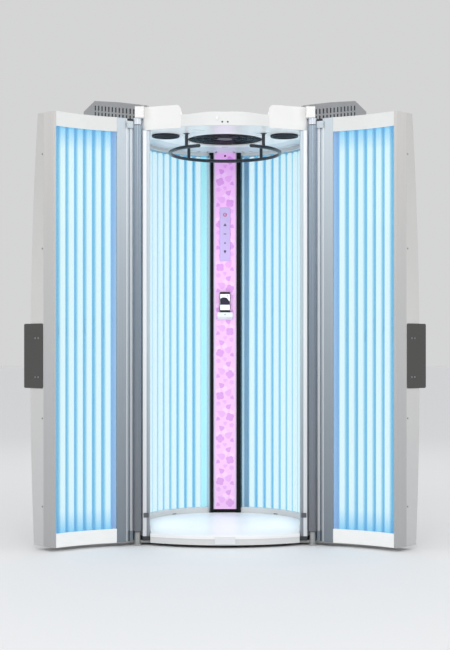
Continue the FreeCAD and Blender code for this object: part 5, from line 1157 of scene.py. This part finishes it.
# %% Speaker cloth, fan cap and fine wires
make_finish("speaker_cloth", (10, 17, 25), 0.9, shade=0.15, grain=1500.0, depth=0.0002)
SPEAKERS, CLOTH_HEIGHT = [(-0.300, -0.150), (0.300, -0.150)], 2.0385
WIRE_THICK, WIRE_HEIGHT, WIRE_RADII = 0.0011, 2.0528, np.arange(0.055, 0.184, 0.0117)
dome = [(0, -0.0030), (0.020, -0.0027), (0.040, -0.0016), (0.055, -0.0002), (0.0595, 0.0015), (0, 0.0015)]
cloth_places = standing([(*spot, CLOTH_HEIGHT) for spot in SPEAKERS])
make_piece("speaker_cloths", *copies(*turned(dome, 40), cloth_places), "cabin", "speaker_dark",
           "speaker_cloth")
rim = [(0, 2.0400), (0.0580, 2.0400), (0.0600, 2.0385), (0.0605, 2.0366), (0.0625, 2.0354), (0.0665, 2.0350),
       (0.0690, 2.0358), (0.0700, 2.0375), (0.0700, 2.0449), (0, 2.0449)]
rims = make_piece("speaker_rims", *copies(*turned(rim, 72), standing(SPEAKERS)), "cabin", "speaker_dark")
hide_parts("speakers")
cap = [(0, 2.0478), (0.020, 2.0480), (0.033, 2.0486), (0.039, 2.0497), (0.040, 2.0512), (0, 2.0512)]
make_piece("fan_cap", *turned(cap, 40), "cabin", "fan_black", "fan_hub")
wires = [arc_tube(radius, WIRE_THICK, 0, 2 * np.pi, WIRE_HEIGHT, 64, 6, closed=True) for radius in WIRE_RADII]
make_piece("guard_wires", *joined(wires), "cabin", "fan_black")
print("fine wires", len(wires))

# %% [markdown]
# ## Small things in the cabin
# A dark clip holds each post's cover near its foot, two grey plates on the lower trims beside the floor stand
# for drain slots, their grey the painted shade inside the openings, and a latch plate sits in the ceiling
# behind the fan. Each is a small plate with round corners.

# %% Clips, drain slots and latch plate
make_finish("clip_grey", (92, 94, 100), 0.45, shade=0.1)
make_finish("latch_grey", (166, 168, 164), 0.4, shade=0.06)
CLIP_X, CLIP_HEIGHT = 0.387, 0.1485
TRIM_FACE, DRAIN_ANGLE, DRAIN_HEIGHT = 0.4122, math.radians(42), 0.0645
LATCH_Y, LATCH_HEIGHT = 0.2285, 2.045
clips = [facing_front(side * CLIP_X, COVER_Y, CLIP_HEIGHT) for side in SIDES.values()]
make_piece("post_clips", *plates(rounded_outline(0.0125, 0.0115, 0.003), 0.0035, clips), "cabin",
           "satin_aluminium", "clip_grey")
# Drain slots: each is a grey plate, the painted shade inside a slot's opening.
drain_x, drain_y = TRIM_FACE * math.sin(DRAIN_ANGLE), TRIM_FACE * math.cos(DRAIN_ANGLE)
drains = [placement((side * drain_x, CABIN_Y + drain_y, DRAIN_HEIGHT), (-side * drain_x, -drain_y, 0))
          for side in SIDES.values()]
make_piece("drain_slots", *plates(rounded_outline(0.014, 0.0022, 0.002), 0.0006, drains), "cabin",
           "white_moulding", "clip_grey")
latch = [placement((0, LATCH_Y, LATCH_HEIGHT), (0, 0, -1), (0, 1, 0))]
make_piece("latch_plate", *plates(rounded_outline(0.017, 0.0040, 0.003), 0.0008, latch), "cabin",
           "ceiling_white", "latch_grey")
print("small plates", len(clips + drains + latch))

# %% [markdown]
# ## Levelling feet
# Each foot is a round pad with a chamfered edge, a six-sided nut and a stem into the base board. They stand
# for the plain feet of the solid model at the same places.

# %% Feet
FOOT_PLACES = [(0, 0), (0, 0.692), (-0.274, -0.300), (0.274, -0.300), (-0.6638, 0.2518), (0.6638, 0.2518),
               (-0.422, 0.692), (0.422, 0.692)]
pad = [(0, 0), (0.0275, 0), (0.0288, 0.0015), (0.0288, 0.0050), (0.0265, 0.0072), (0.010, 0.0084),
       (0, 0.0084)]
stem = [(0, 0.0084), (0.0060, 0.0084), (0.0060, 0.0241), (0, 0.0241)]
nut = [(0, 0.0120), (0.0098, 0.0120), (0.0110, 0.0128), (0.0110, 0.0182), (0.0098, 0.0190), (0, 0.0190)]
foot_places = standing(FOOT_PLACES)
pads = make_piece("foot_pads", *copies(*turned(pad, 32), foot_places), "cabin", "foot_rubber")
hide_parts("levelling_feet")
hardware = [copies(*turned(stem, 16), foot_places), copies(*turned(nut, 6), foot_places)]
make_piece("foot_stems", *joined(hardware), "cabin", "foot_rubber", "screw_metal")
print("feet", len(FOOT_PLACES))

# %% [markdown]
# ## Stage and light
# The booth stands on a plain pale floor that runs on to meet a surround of the same tone. The surround lights
# everything evenly, one large soft light in front and above gives the mouldings their shape, a weaker one on
# each side keeps the flanks readable and another looks at the back. The tubes' own picture brightness is far
# below what they give in truth, so two tall soft lights in front of the walls stand in for the light that
# fills the cabin.

# %% Stage
STAGE_REACH = 60.0
ROOM_STRENGTH, BACKDROP_STRENGTH = 0.74, 0.665


def stage_floor():
    """A wide pale sheet under the booth."""
    corners = [(x * STAGE_REACH, y * STAGE_REACH, 0) for y in (-1, 1) for x in (-1, 1)]
    mesh = bpy.data.meshes.new("stage_floor")
    mesh.from_pydata(corners, [], [[0, 1, 3, 2]])
    floor = added("stage_floor", mesh)
    shader = empty_finish("stage_floor")[1]
    shader.inputs["Base Color"].default_value = srgb(241, 241, 242)
    shader.inputs["Roughness"].default_value = 0.8
    mesh.materials.append(FINISHES["stage_floor"])


def surround():
    """World light: soft and even on the booth, a pale backdrop to camera, gloss and clear sheets."""
    world = bpy.data.worlds.new("surround")
    bpy.context.scene.world = world
    world.use_nodes = True
    tree = world.node_tree
    light = tree.nodes["Background"]
    light.inputs["Color"].default_value = (0.98, 0.99, 1.0, 1)
    light.inputs["Strength"].default_value = ROOM_STRENGTH
    backdrop = {"Color": (0.995, 0.998, 1.0, 1), "Strength": BACKDROP_STRENGTH}
    seen = node(tree, "ShaderNodeBackground", backdrop)
    path = node(tree, "ShaderNodeLightPath")
    first = node(tree, "ShaderNodeMath", operation="MAXIMUM")
    either = node(tree, "ShaderNodeMath", operation="MAXIMUM")
    choose = node(tree, "ShaderNodeMixShader")
    tree.links.new(path.outputs["Is Camera Ray"], first.inputs[0])
    tree.links.new(path.outputs["Is Glossy Ray"], first.inputs[1])
    tree.links.new(first.outputs["Value"], either.inputs[0])
    tree.links.new(path.outputs["Is Transmission Ray"], either.inputs[1])
    tree.links.new(either.outputs["Value"], choose.inputs["Fac"])
    tree.links.new(light.outputs["Background"], choose.inputs[1])
    tree.links.new(seen.outputs["Background"], choose.inputs[2])
    tree.links.new(choose.outputs["Shader"], tree.nodes["World Output"].inputs["Surface"])


def soft_light(name, place, target, size, power, tint=(1, 1, 1)):
    """A square area light at a place, turned to look at a target."""
    data = bpy.data.lights.new(name, "AREA")
    data.shape = "SQUARE"
    data.size = size
    data.energy = power
    data.color = tint
    lamp = added(name, data)
    away = np.asarray(place, float) - np.asarray(target, float)
    lamp.matrix_world = Matrix(placement(place, away).tolist())
    return lamp


GLOW_TINT = (1.0, 0.88, 0.80)
GLOW_X, GLOW_HEIGHT, GLOW_WIDE, GLOW_TALL, GLOW_POWER = 0.375, 1.05, 0.5, 1.85, 3.0
stage_floor()
surround()
soft_light("front_light", (0.0, -6.0, 4.2), (0, 0, 1.1), 3.4, 78)
soft_light("left_light", (-5.0, -2.6, 3.4), (0, 0, 1.0), 2.6, 34)
soft_light("right_light", (5.0, -2.6, 3.4), (0, 0, 1.0), 2.6, 34)
soft_light("rear_light", (0.0, 5.0, 4.2), (0, 0, 1.4), 3.0, 26)
for side_name, side in SIDES.items():
    glow = soft_light(f"cabin_glow_{side_name}", (side * GLOW_X, 0, GLOW_HEIGHT), (0, 0, GLOW_HEIGHT),
                      GLOW_WIDE, GLOW_POWER, GLOW_TINT)
    glow.data.shape = "RECTANGLE"
    glow.data.size_y = GLOW_TALL
    glow.visible_camera = False
    glow.visible_glossy = False
bpy.context.scene.view_settings.view_transform = "Standard"
